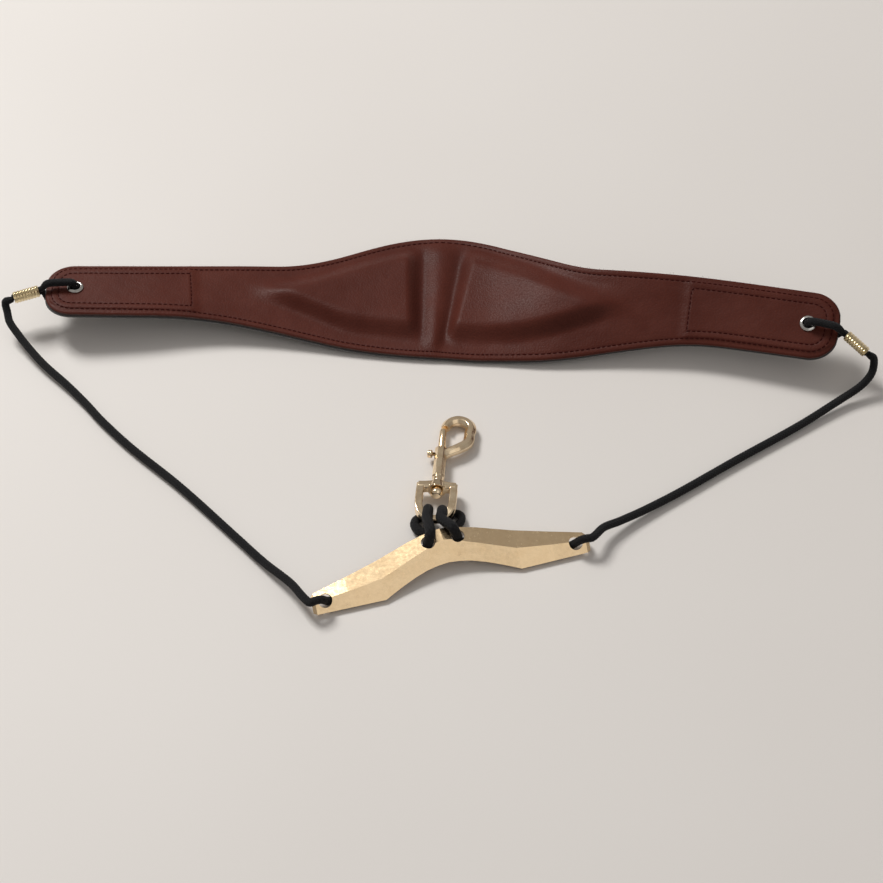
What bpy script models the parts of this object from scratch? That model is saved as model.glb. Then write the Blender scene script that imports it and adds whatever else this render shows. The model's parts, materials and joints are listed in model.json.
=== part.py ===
"""Saxophone neck strap, lying on a table as it is laid down after use.

A padded leather neck pad carries a cord loop in an eyelet at each end. The cords run to a
folded metal spreader bar, pass under it and are hitched round the swivel eye of a bolt snap.
Metres, +Z up, the table at z = 0, the length of the pad along X.
"""
import math

import bmesh
import bpy
from mathutils import Matrix, Vector

MM = 0.001
NAME = "saxophone_neck_strap"

# Neck pad
PAD_LENGTH = 393 * MM
PAD_MIDDLE_X = -1.7 * MM
PAD_SPAN_RATIO = 0.977
TAB_HALF_WIDTH = 17 * MM
TAB_CORNER = 13 * MM
TOP_SWELL, TOP_SWELL_REACH = 19 * MM, 82 * MM
BOTTOM_SWELL, BOTTOM_SWELL_REACH = 26 * MM, 145 * MM
LINING_THICKNESS = 1.0 * MM
LEATHER_THICKNESS = 1.4 * MM
STIFFENER_THICKNESS = 0.6 * MM
GAP = 0.3 * MM
FOAM_INNER, FOAM_OUTER = 8.5 * MM, 96 * MM
FOAM_RISE, FOAM_SAG = 6.5 * MM, 2.6 * MM
FOAM_MARGINS = (10 * MM, 6 * MM)
FOAM_CLEARANCE = 1.6 * MM
RIDGE_HEIGHT, RIDGE_HALF_WIDTH = 2.6 * MM, 6.5 * MM
STIFFENER_INNER, STIFFENER_OUTER = 128 * MM, 190 * MM
STIFFENER_HALF_WIDTH = 11.5 * MM

# How the pad lies: distance from its middle, height, distance from the camera, roll in degrees
PAD_POSE = (
    (-196.5, 81.5, 16.5, -3),
    (-150, 83.5, 13.9, -1),
    (-100, 88.7, 8.2, 1),
    (-50, 92.5, 3.4, 2),
    (0, 94.0, 2.4, 2),
    (30, 88.5, 4.8, 6),
    (60, 80.0, 12.0, 17),
    (90, 74.0, 15.8, 24),
    (130, 67.5, 17.5, 24),
    (196.5, 52.0, 20.7, 21),
)

# Cord, eyelets and ferrules
CORD_RADIUS = 1.95 * MM
CRIMPED_RATIO = 0.77
EYELET_FROM_END = 14.5 * MM
EYELET_BORE = 2.3 * MM
EYELET_WALL = 0.35 * MM
EYELET_FLANGE = 4.0 * MM
EYELET_LIP = 0.9 * MM
FERRULE_LENGTH = 12.5 * MM
FERRULE_BORE = 3.9 * MM
FERRULE_WALL = 0.7 * MM
FERRULE_RIDGE = 0.28 * MM
FERRULE_FLATNESS = 0.533
FERRULE_RIDGES = 8
STRAND_OFFSET = 1.65 * MM
TAIL = 0.9 * MM

# Spreader bar, in its own plane: along, lower edge, ridge, upper edge
BAR_HALF_OUTLINE = (
    (0, 4.8, 14.9, 21.0),
    (5, 4.3, 14.0, 20.5),
    (10, 3.3, 11.7, 19.4),
    (16, 1.3, 9.5, 17.9),
    (22, -1.2, 7.1, 15.9),
    (27, -3.5, 5.2, 14.3),
    (31.2, -5.6, 3.6, 12.9),
    (47, -5.4, 1.5, 8.6),
    (62.3, -5.2, -0.1, 4.6),
    (63.9, -4.3, -0.1, 2.7),
)
BAR_THICKNESS = 1.2 * MM
BAR_RIDGE = 2.4 * MM
BAR_CENTRE = (4.4 * MM, -78.8 * MM, 3.52 * MM)
BAR_YAW, BAR_TILT = math.radians(15.85), math.radians(20)
END_HOLE = (57.8 * MM, 0.0 * MM)
CENTRE_HOLE = (6.8 * MM, 15.5 * MM)
HOLE_RADIUS = 3.2 * MM

# Bolt snap and its swivel eye: X across, Y along from the eye's bar to the hook, Z up
SNAP_PLACE = (-3.5 * MM, -51.45 * MM, 7.1 * MM)
SNAP_YAW, SNAP_PITCH = math.radians(-4.5), math.radians(-4.5)
EYE_BAR_RADIUS = 1.6 * MM
EYE_ARM = (7.6 * MM, 2.8 * MM, 4.4 * MM)
EYE_BRIDGE = (17.6 * MM, 21.6 * MM)
STEM_RADIUS = 1.6 * MM
STEM_HEAD = (14.0 * MM, 16.6 * MM, 2.9 * MM)
COLLAR = (22.6 * MM, 25.2 * MM, 2.6 * MM)
BARREL = (25.0 * MM, 43.8 * MM, 3.3 * MM)
BORE_RADIUS = 2.1 * MM
BORE_START = 28.0 * MM
HOOK_RADIUS = 2.1 * MM
HOOK_CENTRE = (7.0 * MM, 56.6 * MM)
HOOK_BEND = 6.3 * MM
BOLT_RADIUS = 1.7 * MM
BOLT = (38.5 * MM, 56.4 * MM)
BOLT_TRAVEL = 7.0 * MM
STUD_PLACE = 40.5 * MM
STUD_PIN_RADIUS = 0.9 * MM
STUD_KNOB = (3.9 * MM, 6.3 * MM, 1.9 * MM)
SLOT_HALF_WIDTH = 1.25 * MM
SPRING_RADIUS, SPRING_WIRE, SPRING_COILS = 1.45 * MM, 0.22 * MM, 5


def clear_scene():
    for item in list(bpy.data.objects):
        bpy.data.objects.remove(item, do_unlink=True)


clear_scene()
parts = bpy.data.collections.new(NAME)
cutters = bpy.data.collections.new("cutters")
bpy.context.scene.collection.children.link(parts)
bpy.context.scene.collection.children.link(cutters)


# Materials

def material(name, colour, roughness, metallic=0.0):
    made = bpy.data.materials.new(name)
    made.use_nodes = True
    shader = made.node_tree.nodes["Principled BSDF"]
    shader.inputs["Base Color"].default_value = (*colour, 1.0)
    shader.inputs["Roughness"].default_value = roughness
    shader.inputs["Metallic"].default_value = metallic
    made.diffuse_color = (*colour, 1.0)
    return made


LEATHER = material("brown_leather", (0.110, 0.032, 0.024), 0.45)
LINING = material("dark_lining", (0.020, 0.020, 0.022), 0.90)
FOAM = material("foam", (0.30, 0.29, 0.27), 0.95)
BOARD = material("stiffener_board", (0.25, 0.20, 0.14), 0.85)
NICKEL = material("nickel_plate", (0.70, 0.69, 0.66), 0.22, 1.0)
BRASS = material("pale_brass", (0.78, 0.62, 0.36), 0.30, 1.0)
GOLD = material("champagne_gold", (0.83, 0.66, 0.44), 0.18, 1.0)
SNAP_GOLD = material("gold_casting", (0.80, 0.63, 0.44), 0.24, 1.0)
STEEL = material("spring_steel", (0.45, 0.45, 0.46), 0.30, 1.0)
CORD = material("black_cord", (0.012, 0.012, 0.014), 0.80)


# Small modelling helpers

def add_object(name, data, look, collection=parts, matrix=None):
    item = bpy.data.objects.new(name, data)
    collection.objects.link(item)
    if look:
        data.materials.append(look)
    if matrix is not None:
        item.matrix_world = matrix
    return item


def finish_mesh(bm, name, look, collection=parts, matrix=None, smooth=True):
    bmesh.ops.recalc_face_normals(bm, faces=bm.faces[:])
    mesh = bpy.data.meshes.new(name)
    bm.to_mesh(mesh)
    bm.free()
    for face in mesh.polygons:
        face.use_smooth = smooth
    return add_object(name, mesh, look, collection, matrix)


def as_cutter(item):
    item.hide_render = True
    item.display_type = "WIRE"
    return item


def cylinder(name, start, end, radius, look=None, collection=cutters, matrix=None, sides=24):
    """A rod of the given radius between two points of the matrix's space."""
    start, end = Vector(start), Vector(end)
    along = end - start
    turn = Vector((0, 0, 1)).rotation_difference(along).to_matrix().to_4x4()
    bm = bmesh.new()
    bmesh.ops.create_cone(bm, cap_ends=True, segments=sides, radius1=radius, radius2=radius,
                          depth=along.length, matrix=Matrix.Translation((start + end) / 2) @ turn)
    return finish_mesh(bm, name, look, collection, matrix)


def box(name, low, high, look=None, collection=cutters, matrix=None):
    low, high = Vector(low), Vector(high)
    size = high - low
    bm = bmesh.new()
    bmesh.ops.create_cube(bm, size=1.0, matrix=Matrix.Translation((low + high) / 2)
                          @ Matrix.Diagonal((*size, 1.0)))
    return finish_mesh(bm, name, look, collection, matrix, smooth=False)


def boolean(item, cutter, operation="DIFFERENCE"):
    modifier = item.modifiers.new(operation.lower() + "_" + cutter.name, "BOOLEAN")
    modifier.operation = operation
    modifier.solver = "EXACT"
    modifier.object = cutter
    as_cutter(cutter)


def bevel(item, width, segments=2, angle=40):
    modifier = item.modifiers.new("rounded_edges", "BEVEL")
    modifier.width = width
    modifier.segments = segments
    modifier.limit_method = "ANGLE"
    modifier.angle_limit = math.radians(angle)
    modifier.harden_normals = False


def turned(name, profile, look, matrix, steps=24, collection=parts):
    """A closed profile of (radius, height) points turned round the local Z axis."""
    mesh = bpy.data.meshes.new(name)
    count = len(profile)
    edges = [(i, (i + 1) % count) for i in range(count)]
    mesh.from_pydata([(radius, 0, height) for radius, height in profile], edges, [])
    item = add_object(name, mesh, look, collection, matrix)
    modifier = item.modifiers.new("turn", "SCREW")
    modifier.axis = "Z"
    modifier.steps = steps
    modifier.render_steps = steps
    modifier.use_merge_vertices = True
    modifier.merge_threshold = 0.00001
    area = sum(a[0] * b[1] - b[0] * a[1] for a, b in zip(profile, profile[1:] + profile[:1]))
    modifier.use_normal_flip = area > 0
    modifier.use_smooth_shade = True
    return item


def smooth_route(points, spacing, last_stretch=0.0, last_spacing=0.0):
    """Points on a smooth curve through the route points, closer together on its last stretch."""
    points = [Vector(point) for point in points]
    padded = [2 * points[0] - points[1]] + points + [2 * points[-1] - points[-2]]
    dense = []
    for a, b, c, d in zip(padded, padded[1:], padded[2:], padded[3:]):
        steps = max(4, int((c - b).length / (0.5 * MM)))
        tangent_b = (c - a) * (c - b).length / ((c - b).length + (b - a).length)
        tangent_c = (d - b) * (c - b).length / ((c - b).length + (d - c).length)
        for i in range(steps):
            t = i / steps
            dense.append((2 * t**3 - 3 * t**2 + 1) * b + (t**3 - 2 * t**2 + t) * tangent_b
                         + (3 * t**2 - 2 * t**3) * c + (t**3 - t**2) * tangent_c)
    dense.append(points[-1])
    travelled = [0.0]
    for a, b in zip(dense, dense[1:]):
        travelled.append(travelled[-1] + (b - a).length)
    total = travelled[-1]
    main = total - last_stretch
    count = max(2, round(main / spacing))
    goals = [main * step / count for step in range(1, count + (1 if last_stretch else 0))]
    if last_stretch:
        count = round(last_stretch / last_spacing)
        goals += [main + last_stretch * step / count for step in range(1, count)]
    result, index = [dense[0]], 0
    for goal in goals:
        while travelled[index + 1] < goal:
            index += 1
        part = (goal - travelled[index]) / (travelled[index + 1] - travelled[index])
        result.append(dense[index].lerp(dense[index + 1], part))
    return result + [dense[-1]]


def cord(name, points, ratios=None, look=CORD, radius=CORD_RADIUS):
    """A round cord along the points, drawn in where the ratios are under one."""
    curve = bpy.data.curves.new(name, "CURVE")
    curve.dimensions = "3D"
    curve.bevel_depth = radius
    curve.bevel_resolution = 2
    curve.use_fill_caps = True
    spline = curve.splines.new("POLY")
    spline.points.add(len(points) - 1)
    for index, point in enumerate(points):
        spline.points[index].co = (*point, 1.0)
        spline.points[index].radius = ratios[index] if ratios else 1.0
    spline.use_smooth = True
    return add_object(name, curve, look)


def mesh_from_curve(item):
    """The same object as a mesh, with its caps welded on."""
    name, look = item.name, item.data.materials[0]
    graph = bpy.context.evaluated_depsgraph_get()
    mesh = bpy.data.meshes.new_from_object(item.evaluated_get(graph))
    matrix = item.matrix_world.copy()
    bpy.data.objects.remove(item, do_unlink=True)
    bm = bmesh.new()
    bm.from_mesh(mesh)
    bmesh.ops.remove_doubles(bm, verts=bm.verts[:], dist=0.00001)
    bm.to_mesh(mesh)
    bm.free()
    made = bpy.data.objects.new(name, mesh)
    parts.objects.link(made)
    made.matrix_world = matrix
    if not mesh.materials:
        mesh.materials.append(look)
    return made


# The pad's lying shape

def smoothstep(value, low, high):
    t = min(1.0, max(0.0, (value - low) / (high - low)))
    return t * t * (3 - 2 * t)


def pad_pose(s):
    """Depth, height and roll of the pad at distance s from its middle."""
    stations = PAD_POSE
    s = s / MM
    index = 0
    while index < len(stations) - 2 and s > stations[index + 1][0]:
        index += 1
    before, start = stations[max(0, index - 1)], stations[index]
    end, after = stations[index + 1], stations[min(len(stations) - 1, index + 2)]
    span = end[0] - start[0]
    t = (s - start[0]) / span
    values = []
    for k in (1, 2, 3):
        slope_start = (end[k] - before[k]) / max(end[0] - before[0], span)
        slope_end = (after[k] - start[k]) / max(after[0] - start[0], span)
        values.append((2 * t**3 - 3 * t**2 + 1) * start[k] + (t**3 - 2 * t**2 + t) * slope_start * span
                      + (3 * t**2 - 2 * t**3) * end[k] + (t**3 - t**2) * slope_end * span)
    return values[0] * MM, values[1] * MM, math.radians(values[2])


def pad_centre(s):
    depth, height, _ = pad_pose(s)
    return Vector((PAD_MIDDLE_X + PAD_SPAN_RATIO * s, depth, height))


def pad_frame(s):
    """Along, across and up directions of the pad at s, with its origin, as a matrix."""
    step = 2 * MM
    along = (pad_centre(s + step) - pad_centre(s - step)).normalized()
    across = Vector((0, 0, 1)).cross(along).normalized()
    up = along.cross(across)
    roll = pad_pose(s)[2]
    rolled_across = across * math.cos(roll) + up * math.sin(roll)
    rolled_up = up * math.cos(roll) - across * math.sin(roll)
    frame = Matrix((along, rolled_across, rolled_up)).transposed().to_4x4()
    frame.translation = pad_centre(s)
    return frame


def end_rounding(s):
    """How much the half width shrinks at the rounded corners of the tab."""
    depth = PAD_LENGTH / 2 - abs(s)
    if depth >= TAB_CORNER:
        return 0.0
    return TAB_CORNER - math.sqrt(max(0.0, TAB_CORNER**2 - (TAB_CORNER - depth)**2))


def swell(s, height, reach):
    return height * math.cos(math.pi * s / (2 * reach))**2 if abs(s) < reach else 0.0


def upper_edge(s):
    return TAB_HALF_WIDTH + swell(s, TOP_SWELL, TOP_SWELL_REACH) - end_rounding(s)


def lower_edge(s):
    return -TAB_HALF_WIDTH - swell(s, BOTTOM_SWELL, BOTTOM_SWELL_REACH) + end_rounding(s)


def foam_limits(s):
    """Lower and upper edge of the foam pads, which narrow towards their outer tips."""
    low, high = lower_edge(s) + FOAM_MARGINS[0], upper_edge(s) - FOAM_MARGINS[1]
    taper = smoothstep(abs(s), 42 * MM, FOAM_OUTER) * (high - low)
    return low + 0.30 * taper, high - 0.12 * taper


def dome(s, v):
    """Zero outside the foam pads and one over most of them."""
    low, high = foam_limits(s)
    a = (abs(s) - (FOAM_INNER + FOAM_OUTER) / 2) / ((FOAM_OUTER - FOAM_INNER) / 2)
    b = (v - (low + high) / 2) / ((high - low) / 2)
    if abs(a) >= 1 or abs(b) >= 1:
        return 0.0
    return ((1 - abs(a)**3) * (1 - abs(b)**3))**1.2


def ridge(s, v):
    fade = smoothstep(upper_edge(s) - v, 0, 12 * MM) * smoothstep(v - lower_edge(s), 0, 12 * MM)
    return RIDGE_HEIGHT * math.exp(-(s / RIDGE_HALF_WIDTH)**4) * fade


def tab_rise(s, v):
    """Room for the stiffener between the leather and the lining."""
    edge = min(upper_edge(s) - v, v - lower_edge(s), PAD_LENGTH / 2 - abs(s))
    return smoothstep(abs(s), 120 * MM, 126 * MM) * smoothstep(edge, 1.5 * MM, 4.0 * MM)


def lining_top(s, v):
    return LINING_THICKNESS - FOAM_SAG * dome(s, v)


def leather_under(s, v):
    plain = LINING_THICKNESS + GAP
    stiffener = (STIFFENER_THICKNESS + GAP) * tab_rise(s, v)
    return plain + stiffener + FOAM_RISE * dome(s, v) + ridge(s, v)


def on_pad(s, v, h):
    return pad_frame(s) @ Vector((0, v, h))


def pad_stations():
    half = PAD_LENGTH / 2
    ends = [half - TAB_CORNER * (1 - math.cos(math.radians(a))) for a in (0, 25, 50, 72)]
    run = [d * MM for d in (180, 170, 160, 150, 140, 132, 126, 120, 113, 105, 95, 85, 75, 65, 55, 45, 35,
                            26, 19, 14, 10, 6.5, 3.2)]
    right = ends + run
    return [-s for s in right] + [0.0] + right[::-1]


def layer(name, stations, rows, place, look):
    """A closed sheet: a grid drawn out to two skins, each put where place(s, row, skin) says."""
    columns, lines = len(stations) - 1, len(rows) - 1
    bm = bmesh.new()
    bmesh.ops.create_grid(bm, x_segments=columns, y_segments=lines, size=1.0)
    skin = bmesh.ops.extrude_face_region(bm, geom=bm.faces[:])
    raised = {vert for vert in skin["geom"] if isinstance(vert, bmesh.types.BMVert)}
    for vert in bm.verts:
        s = stations[round((vert.co.x + 1) / 2 * columns)]
        row = rows[round((vert.co.y + 1) / 2 * lines)]
        vert.co = place(s, row, 1 if vert in raised else 0)
    return finish_mesh(bm, name, look)


ROWS = (-1.0, -0.90, -0.78, -0.55, -0.25, 0.05, 0.35, 0.60, 0.80, 0.91, 1.0)


def across(s, row):
    return (lower_edge(s) + upper_edge(s)) / 2 + row * (upper_edge(s) - lower_edge(s)) / 2


def leather_cover():
    def place(s, row, skin):
        v = across(s, row)
        return on_pad(s, v, leather_under(s, v) + skin * LEATHER_THICKNESS)
    return layer("leather_cover", pad_stations(), ROWS, place, LEATHER)


def backing_lining():
    def place(s, row, skin):
        v = across(s, row)
        return on_pad(s, v, lining_top(s, v) - (1 - skin) * LINING_THICKNESS)
    return layer("backing_lining", pad_stations(), ROWS, place, LINING)


def foam_pad(name, side):
    """A cushion that stays inside the domes of the leather and the lining."""
    inset = 0.77
    middle, half = (FOAM_INNER + FOAM_OUTER) / 2, (FOAM_OUTER - FOAM_INNER) / 2
    stations = [side * (middle + half * inset * a) for a in
                (-1, -0.93, -0.82, -0.64, -0.43, -0.2, 0.05, 0.3, 0.52, 0.72, 0.86, 0.95, 1)]
    rows = (-1, -0.86, -0.62, -0.3, 0, 0.3, 0.62, 0.86, 1)

    def place(s, row, skin):
        low, high = foam_limits(s)
        v = (low + high) / 2 + row * inset * (high - low) / 2
        under = lining_top(s, v) + FOAM_CLEARANCE / 2
        if skin:
            return on_pad(s, v, max(leather_under(s, v) - FOAM_CLEARANCE, under + FOAM_CLEARANCE / 2))
        return on_pad(s, v, under)
    return layer(name, stations, rows, place, FOAM)


def stiffener(name, side):
    inner, outer = STIFFENER_INNER, STIFFENER_OUTER
    stations = [side * (inner + (outer - inner) * t) for t in
                (0, 0.06, 0.19, 0.35, 0.52, 0.68, 0.84, 0.95, 1)]

    def place(s, row, skin):
        corner = 2.0 * MM if abs(s) > outer - 1 * MM or abs(s) < inner + 1 * MM else 0.0
        narrowing = 2.5 * MM * smoothstep(abs(s), outer - 12 * MM, outer)
        v = row * (STIFFENER_HALF_WIDTH - corner - narrowing)
        return on_pad(s, v, LINING_THICKNESS + GAP + skin * STIFFENER_THICKNESS)
    return layer(name, stations, (-1, -0.5, 0, 0.5, 1), place, BOARD)


# Eyelets, cord loops and ferrules at the two ends

TAB_TOP = LINING_THICKNESS + 2 * GAP + STIFFENER_THICKNESS + LEATHER_THICKNESS
LIP_TOP = TAB_TOP + GAP + EYELET_LIP
WASHER_LOW = -GAP - 0.5 * MM
EYELET_LOW = WASHER_LOW - GAP - 0.5 * MM


def eyelet_frame(side):
    return pad_frame(side * (PAD_LENGTH / 2 - EYELET_FROM_END))


def eyelet(side_name, frame):
    bore, wall, flange = EYELET_BORE, EYELET_WALL, EYELET_FLANGE
    outer = bore + wall
    corner = 0.3 * MM
    profile = [
        (bore, EYELET_LOW + corner),
        (bore + corner, EYELET_LOW),
        (outer + 0.75 * MM, EYELET_LOW + 0.1 * MM),
        (outer + 0.75 * MM, WASHER_LOW - GAP),
        (outer, WASHER_LOW - GAP),
        (outer, TAB_TOP + GAP),
        (flange, TAB_TOP + GAP),
        (flange, TAB_TOP + GAP + 0.35 * MM),
        (flange - 0.45 * MM, LIP_TOP - 0.12 * MM),
        (bore + 0.8 * MM, LIP_TOP),
        (bore + corner, LIP_TOP),
        (bore, LIP_TOP - corner),
    ]
    return turned(side_name + "_eyelet", profile, NICKEL, frame)


def eyelet_washer(side_name, frame):
    inner = EYELET_BORE + EYELET_WALL + GAP
    profile = [(inner, WASHER_LOW), (EYELET_FLANGE, WASHER_LOW + 0.12 * MM),
               (EYELET_FLANGE, -GAP), (inner, -GAP)]
    return turned(side_name + "_eyelet_washer", profile, NICKEL, frame)


def end_layout(side):
    """Ferrule ends, the direction between them and the direction its strands are stacked in."""
    frame = eyelet_frame(side)
    outward = (frame.col[0].to_3d() * side).normalized()
    across_tab = frame.col[1].to_3d()
    up = frame.col[2].to_3d()
    reach = EYELET_FROM_END + (3.2 * MM if side < 0 else 4.2 * MM)
    tip = frame.translation + outward * reach + up * TAB_TOP / 2
    lean = 0.30 if side < 0 else 0.62
    inner = tip - across_tab * (0.8 * MM if side < 0 else 2.4 * MM)
    run = (outward - across_tab * lean - up * (0.12 if side < 0 else 0.25)).normalized()
    stack = (up * math.cos(math.radians(30)) - across_tab * math.sin(math.radians(30)))
    stack = (stack - run * stack.dot(run)).normalized()
    return inner, inner + run * FERRULE_LENGTH, run, stack


def ferrule(side_name, side):
    inner, _, run, stack = end_layout(side)
    thin = stack.cross(run)
    frame = Matrix((thin, stack, run)).transposed().to_4x4()
    frame.translation = inner
    body = FERRULE_BORE + FERRULE_WALL
    pitch = FERRULE_LENGTH / (FERRULE_RIDGES + 0.5)
    profile = [(FERRULE_BORE, 0), (body, 0)]
    for index in range(FERRULE_RIDGES):
        start = pitch * (index + 0.35)
        profile += [(body, start), (body + FERRULE_RIDGE, start + 0.3 * pitch),
                    (body, start + 0.6 * pitch)]
    profile += [(body, FERRULE_LENGTH), (FERRULE_BORE, FERRULE_LENGTH)]
    squeeze = Matrix.Diagonal((FERRULE_FLATNESS, 1.0, 1.0, 1.0))
    return turned(side_name + "_ferrule", profile, BRASS, frame @ squeeze, steps=16)


def eyelet_loop(side_name, side):
    """Cord up through the eyelet, over the tab's end and, doubled, into the ferrule."""
    frame = eyelet_frame(side)
    inner, outer, run, stack = end_layout(side)
    bend = 2.6 * MM
    flare = 0.65 * MM if side < 0 else 0.25 * MM
    high = LIP_TOP - 0.3 * MM
    low = EYELET_LOW + 0.3 * MM

    def local(out, up, sideways=0.0):
        return frame @ Vector((out * side, sideways, up))

    def quarter(centre_up, direction):
        points = []
        for angle in (0, 30, 60, 90):
            turn = math.radians(angle)
            points.append(local(bend - bend * math.cos(turn), centre_up + direction * bend * math.sin(turn)))
        return points

    top = [outer + run * TAIL + stack * STRAND_OFFSET, inner + run * 6 * MM + stack * STRAND_OFFSET,
           inner + run * 0.5 * MM + stack * STRAND_OFFSET,
           inner - run * 1.6 * MM + stack * (STRAND_OFFSET + flare)]
    over = [local(13.2 * MM, high + bend - 0.3 * MM, -0.9 * MM), local(8 * MM, high + bend, -0.3 * MM)]
    under = [local(8 * MM, low - bend, -0.3 * MM), local(13.2 * MM, low - bend + 0.2 * MM, -0.9 * MM)]
    bottom = [inner - run * 1.6 * MM - stack * (STRAND_OFFSET + flare),
              inner + run * 0.5 * MM - stack * STRAND_OFFSET,
              inner + run * 6 * MM - stack * STRAND_OFFSET, outer - run * GAP / 2 - stack * STRAND_OFFSET]
    route = (top + over + quarter(high, 1)[::-1] + [local(0, (high + low) / 2)]
             + quarter(low, -1) + under + bottom)
    points = smooth_route(route, 2.2 * MM)
    ratios = []
    for point in points:
        ahead = (point - inner).dot(run)
        ratios.append(1 - (1 - CRIMPED_RATIO) * smoothstep(ahead, -5.0 * MM, -1.8 * MM))
    return cord(side_name + "_eyelet_loop", points, ratios)


# Spreader bar

def bar_matrix():
    turn = Matrix.Rotation(BAR_YAW, 4, "Z") @ Matrix.Rotation(BAR_TILT, 4, "X")
    return Matrix.Translation(BAR_CENTRE) @ turn


def bar_section(x):
    stations = BAR_HALF_OUTLINE
    index = 0
    while index < len(stations) - 2 and x / MM > stations[index + 1][0]:
        index += 1
    start, end = stations[index], stations[index + 1]
    t = min(1.0, (x / MM - start[0]) / (end[0] - start[0]))
    return [(start[k] + (end[k] - start[k]) * t) * MM for k in (1, 2, 3)]


def spreader_bar():
    right = [station[0] * MM for station in BAR_HALF_OUTLINE]
    stations = [-x for x in right[:0:-1]] + right
    columns = len(stations) - 1
    bm = bmesh.new()
    bmesh.ops.create_grid(bm, x_segments=columns, y_segments=2, size=1.0)
    for vert in bm.verts:
        x = stations[round((vert.co.x + 1) / 2 * columns)]
        line = round(vert.co.y + 1)
        y = bar_section(abs(x))[line]
        vert.co = (x, y, BAR_RIDGE if line == 1 else 0.0)
    item = finish_mesh(bm, "spreader_bar", GOLD, matrix=bar_matrix(), smooth=False)
    solid = item.modifiers.new("plate", "SOLIDIFY")
    solid.thickness = BAR_THICKNESS
    solid.offset = -1.0
    solid.use_even_offset = True
    bevel(item, 0.25 * MM, segments=1, angle=50)
    for sign in (-1, 1):
        for x, y in (END_HOLE, CENTRE_HOLE):
            hole = cylinder(f"bar_hole_{x / MM:.0f}_{sign}", (sign * x, y, -8 * MM), (sign * x, y, 8 * MM),
                            HOLE_RADIUS, matrix=bar_matrix())
            boolean(item, hole)
    return item


# Cords between the ferrules, the bar and the eye

def snap_matrix():
    turn = Matrix.Rotation(SNAP_YAW, 4, "Z") @ Matrix.Rotation(SNAP_PITCH, 4, "X")
    return Matrix.Translation(SNAP_PLACE) @ turn


def on_bar(x, y, z):
    return bar_matrix() @ Vector((x * MM, y * MM, z * MM))


def by_snap(x, y, z):
    return snap_matrix() @ Vector((x * MM, y * MM, z * MM))


def end_hole_route(sign):
    """From over the bar's tip, through its end hole and under the plate."""
    return [on_bar(sign * 65.1, -0.2, 5.1), on_bar(sign * 61.9, -0.1, 5.25), on_bar(sign * 59.3, 0.0, 4.0),
            on_bar(sign * 57.8, 0.0, 1.5), on_bar(sign * 56.2, 0.1, -1.0), on_bar(sign * 53.3, 0.5, -1.98)]


def hitch_half(sign, strand_x, lobe):
    """Under the bar, up its centre hole, over the eye's bar, down through the eye and out behind it."""
    under = [on_bar(sign * 42, 2.0, -1.8), on_bar(sign * 31, 4.2, -1.9), on_bar(sign * 20, 8.4, -2.0),
             on_bar(sign * 12.4, 11.5, -2.3)]
    hole = [on_bar(sign * 7.6, 14.1, -1.5), on_bar(sign * 6.8, 15.5, 0.8), on_bar(sign * 6.0, 16.9, 3.2),
            on_bar(sign * 5.0, 19.4, 4.5)]
    over = [by_snap(sign * strand_x, -3.6, 4.7), by_snap(sign * strand_x, 0, 4.15),
            by_snap(sign * strand_x, 3.0, 2.9), by_snap(sign * (strand_x + 0.1), 4.15, -0.2),
            by_snap(sign * (strand_x + 0.3), 4.4, -2.6), by_snap(sign * (strand_x + 0.7), 4.6, -4.3)]
    return under + hole + over + [by_snap(sign * x, y, z) for x, y, z in lobe]


LEFT_LOBE = ((6.0, 4.3, -4.5), (8.2, 2.6, -4.5), (8.6, -0.6, -4.5), (5.6, -4.4, -4.4))
RIGHT_LOBE = ((6.9, 6.4, -4.5), (9.6, 8.0, -4.45), (12.0, 6.6, -4.45), (12.0, 3.0, -4.45), (9.6, -0.6, -4.45),
              (5.0, -4.6, -4.4))


def hitch_cord():
    left = end_hole_route(-1)[3:] + hitch_half(-1, 2.8, LEFT_LOBE)
    right = end_hole_route(1)[3:] + hitch_half(1, 3.6, RIGHT_LOBE)
    crossing = [by_snap(0.2, -6.2, -4.4)]
    route = left + crossing + right[::-1]
    points = smooth_route(route, 2.6 * MM)
    points[0] = points[0].lerp(points[1], 0.05)
    points[-1] = points[-1].lerp(points[-2], 0.05)
    return cord("hitch_cord", points)


LEFT_ROUTE = (
    (-212.6, 73.0, 11.6),
    (-211.3, 68.8, 9.2),
    (-207.3, 63.4, 7.0),
    (-201.2, 55.8, 5.0),
    (-192.4, 45.6, 3.6),
    (-179.8, 33.0, 2.8),
    (-169.4, 21.6, 2.1),
    (-161.0, 11.2, 2.1),
    (-145.8, -5.1, 2.1),
    (-120.3, -29.1, 2.1),
    (-91.0, -60.0, 2.2),
    (-78.9, -73.2, 3.0),
    (-66.6, -86.3, 5.9),
)

RIGHT_ROUTE = (
    (206.0, 35.1, 11.3),
    (204.0, 32.3, 8.8),
    (199.6, 28.8, 6.2),
    (190.6, 23.1, 4.0),
    (169.2, 8.0, 2.4),
    (136.5, -13.6, 2.1),
    (109.6, -32.1, 2.2),
    (92.0, -43.6, 3.0),
    (80.5, -50.9, 4.5),
    (73.0, -56.0, 6.5),
)


def free_cord(side_name, side, middle_route):
    """From the ferrule's outer end down to the table and along it to the bar's end hole."""
    _, outer, run, stack = end_layout(side)
    start = outer + run * GAP - stack * STRAND_OFFSET
    leaving = [start + run * 1.6 * MM, start + run * 4.2 * MM - stack * 1.0 * MM]
    middle = [Vector(point) * MM for point in middle_route]
    hole = end_hole_route(side)
    points = smooth_route([start] + leaving + middle + hole[:4], 6.0 * MM, 14 * MM, 2.4 * MM)
    points[-1] = points[-1].lerp(points[-2], 0.05)
    ratios = [0.70, 0.82, 0.95] + [1.0] * (len(points) - 3)
    return cord(side_name + "_cord", points, ratios)


# Swivel eye and bolt snap

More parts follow.
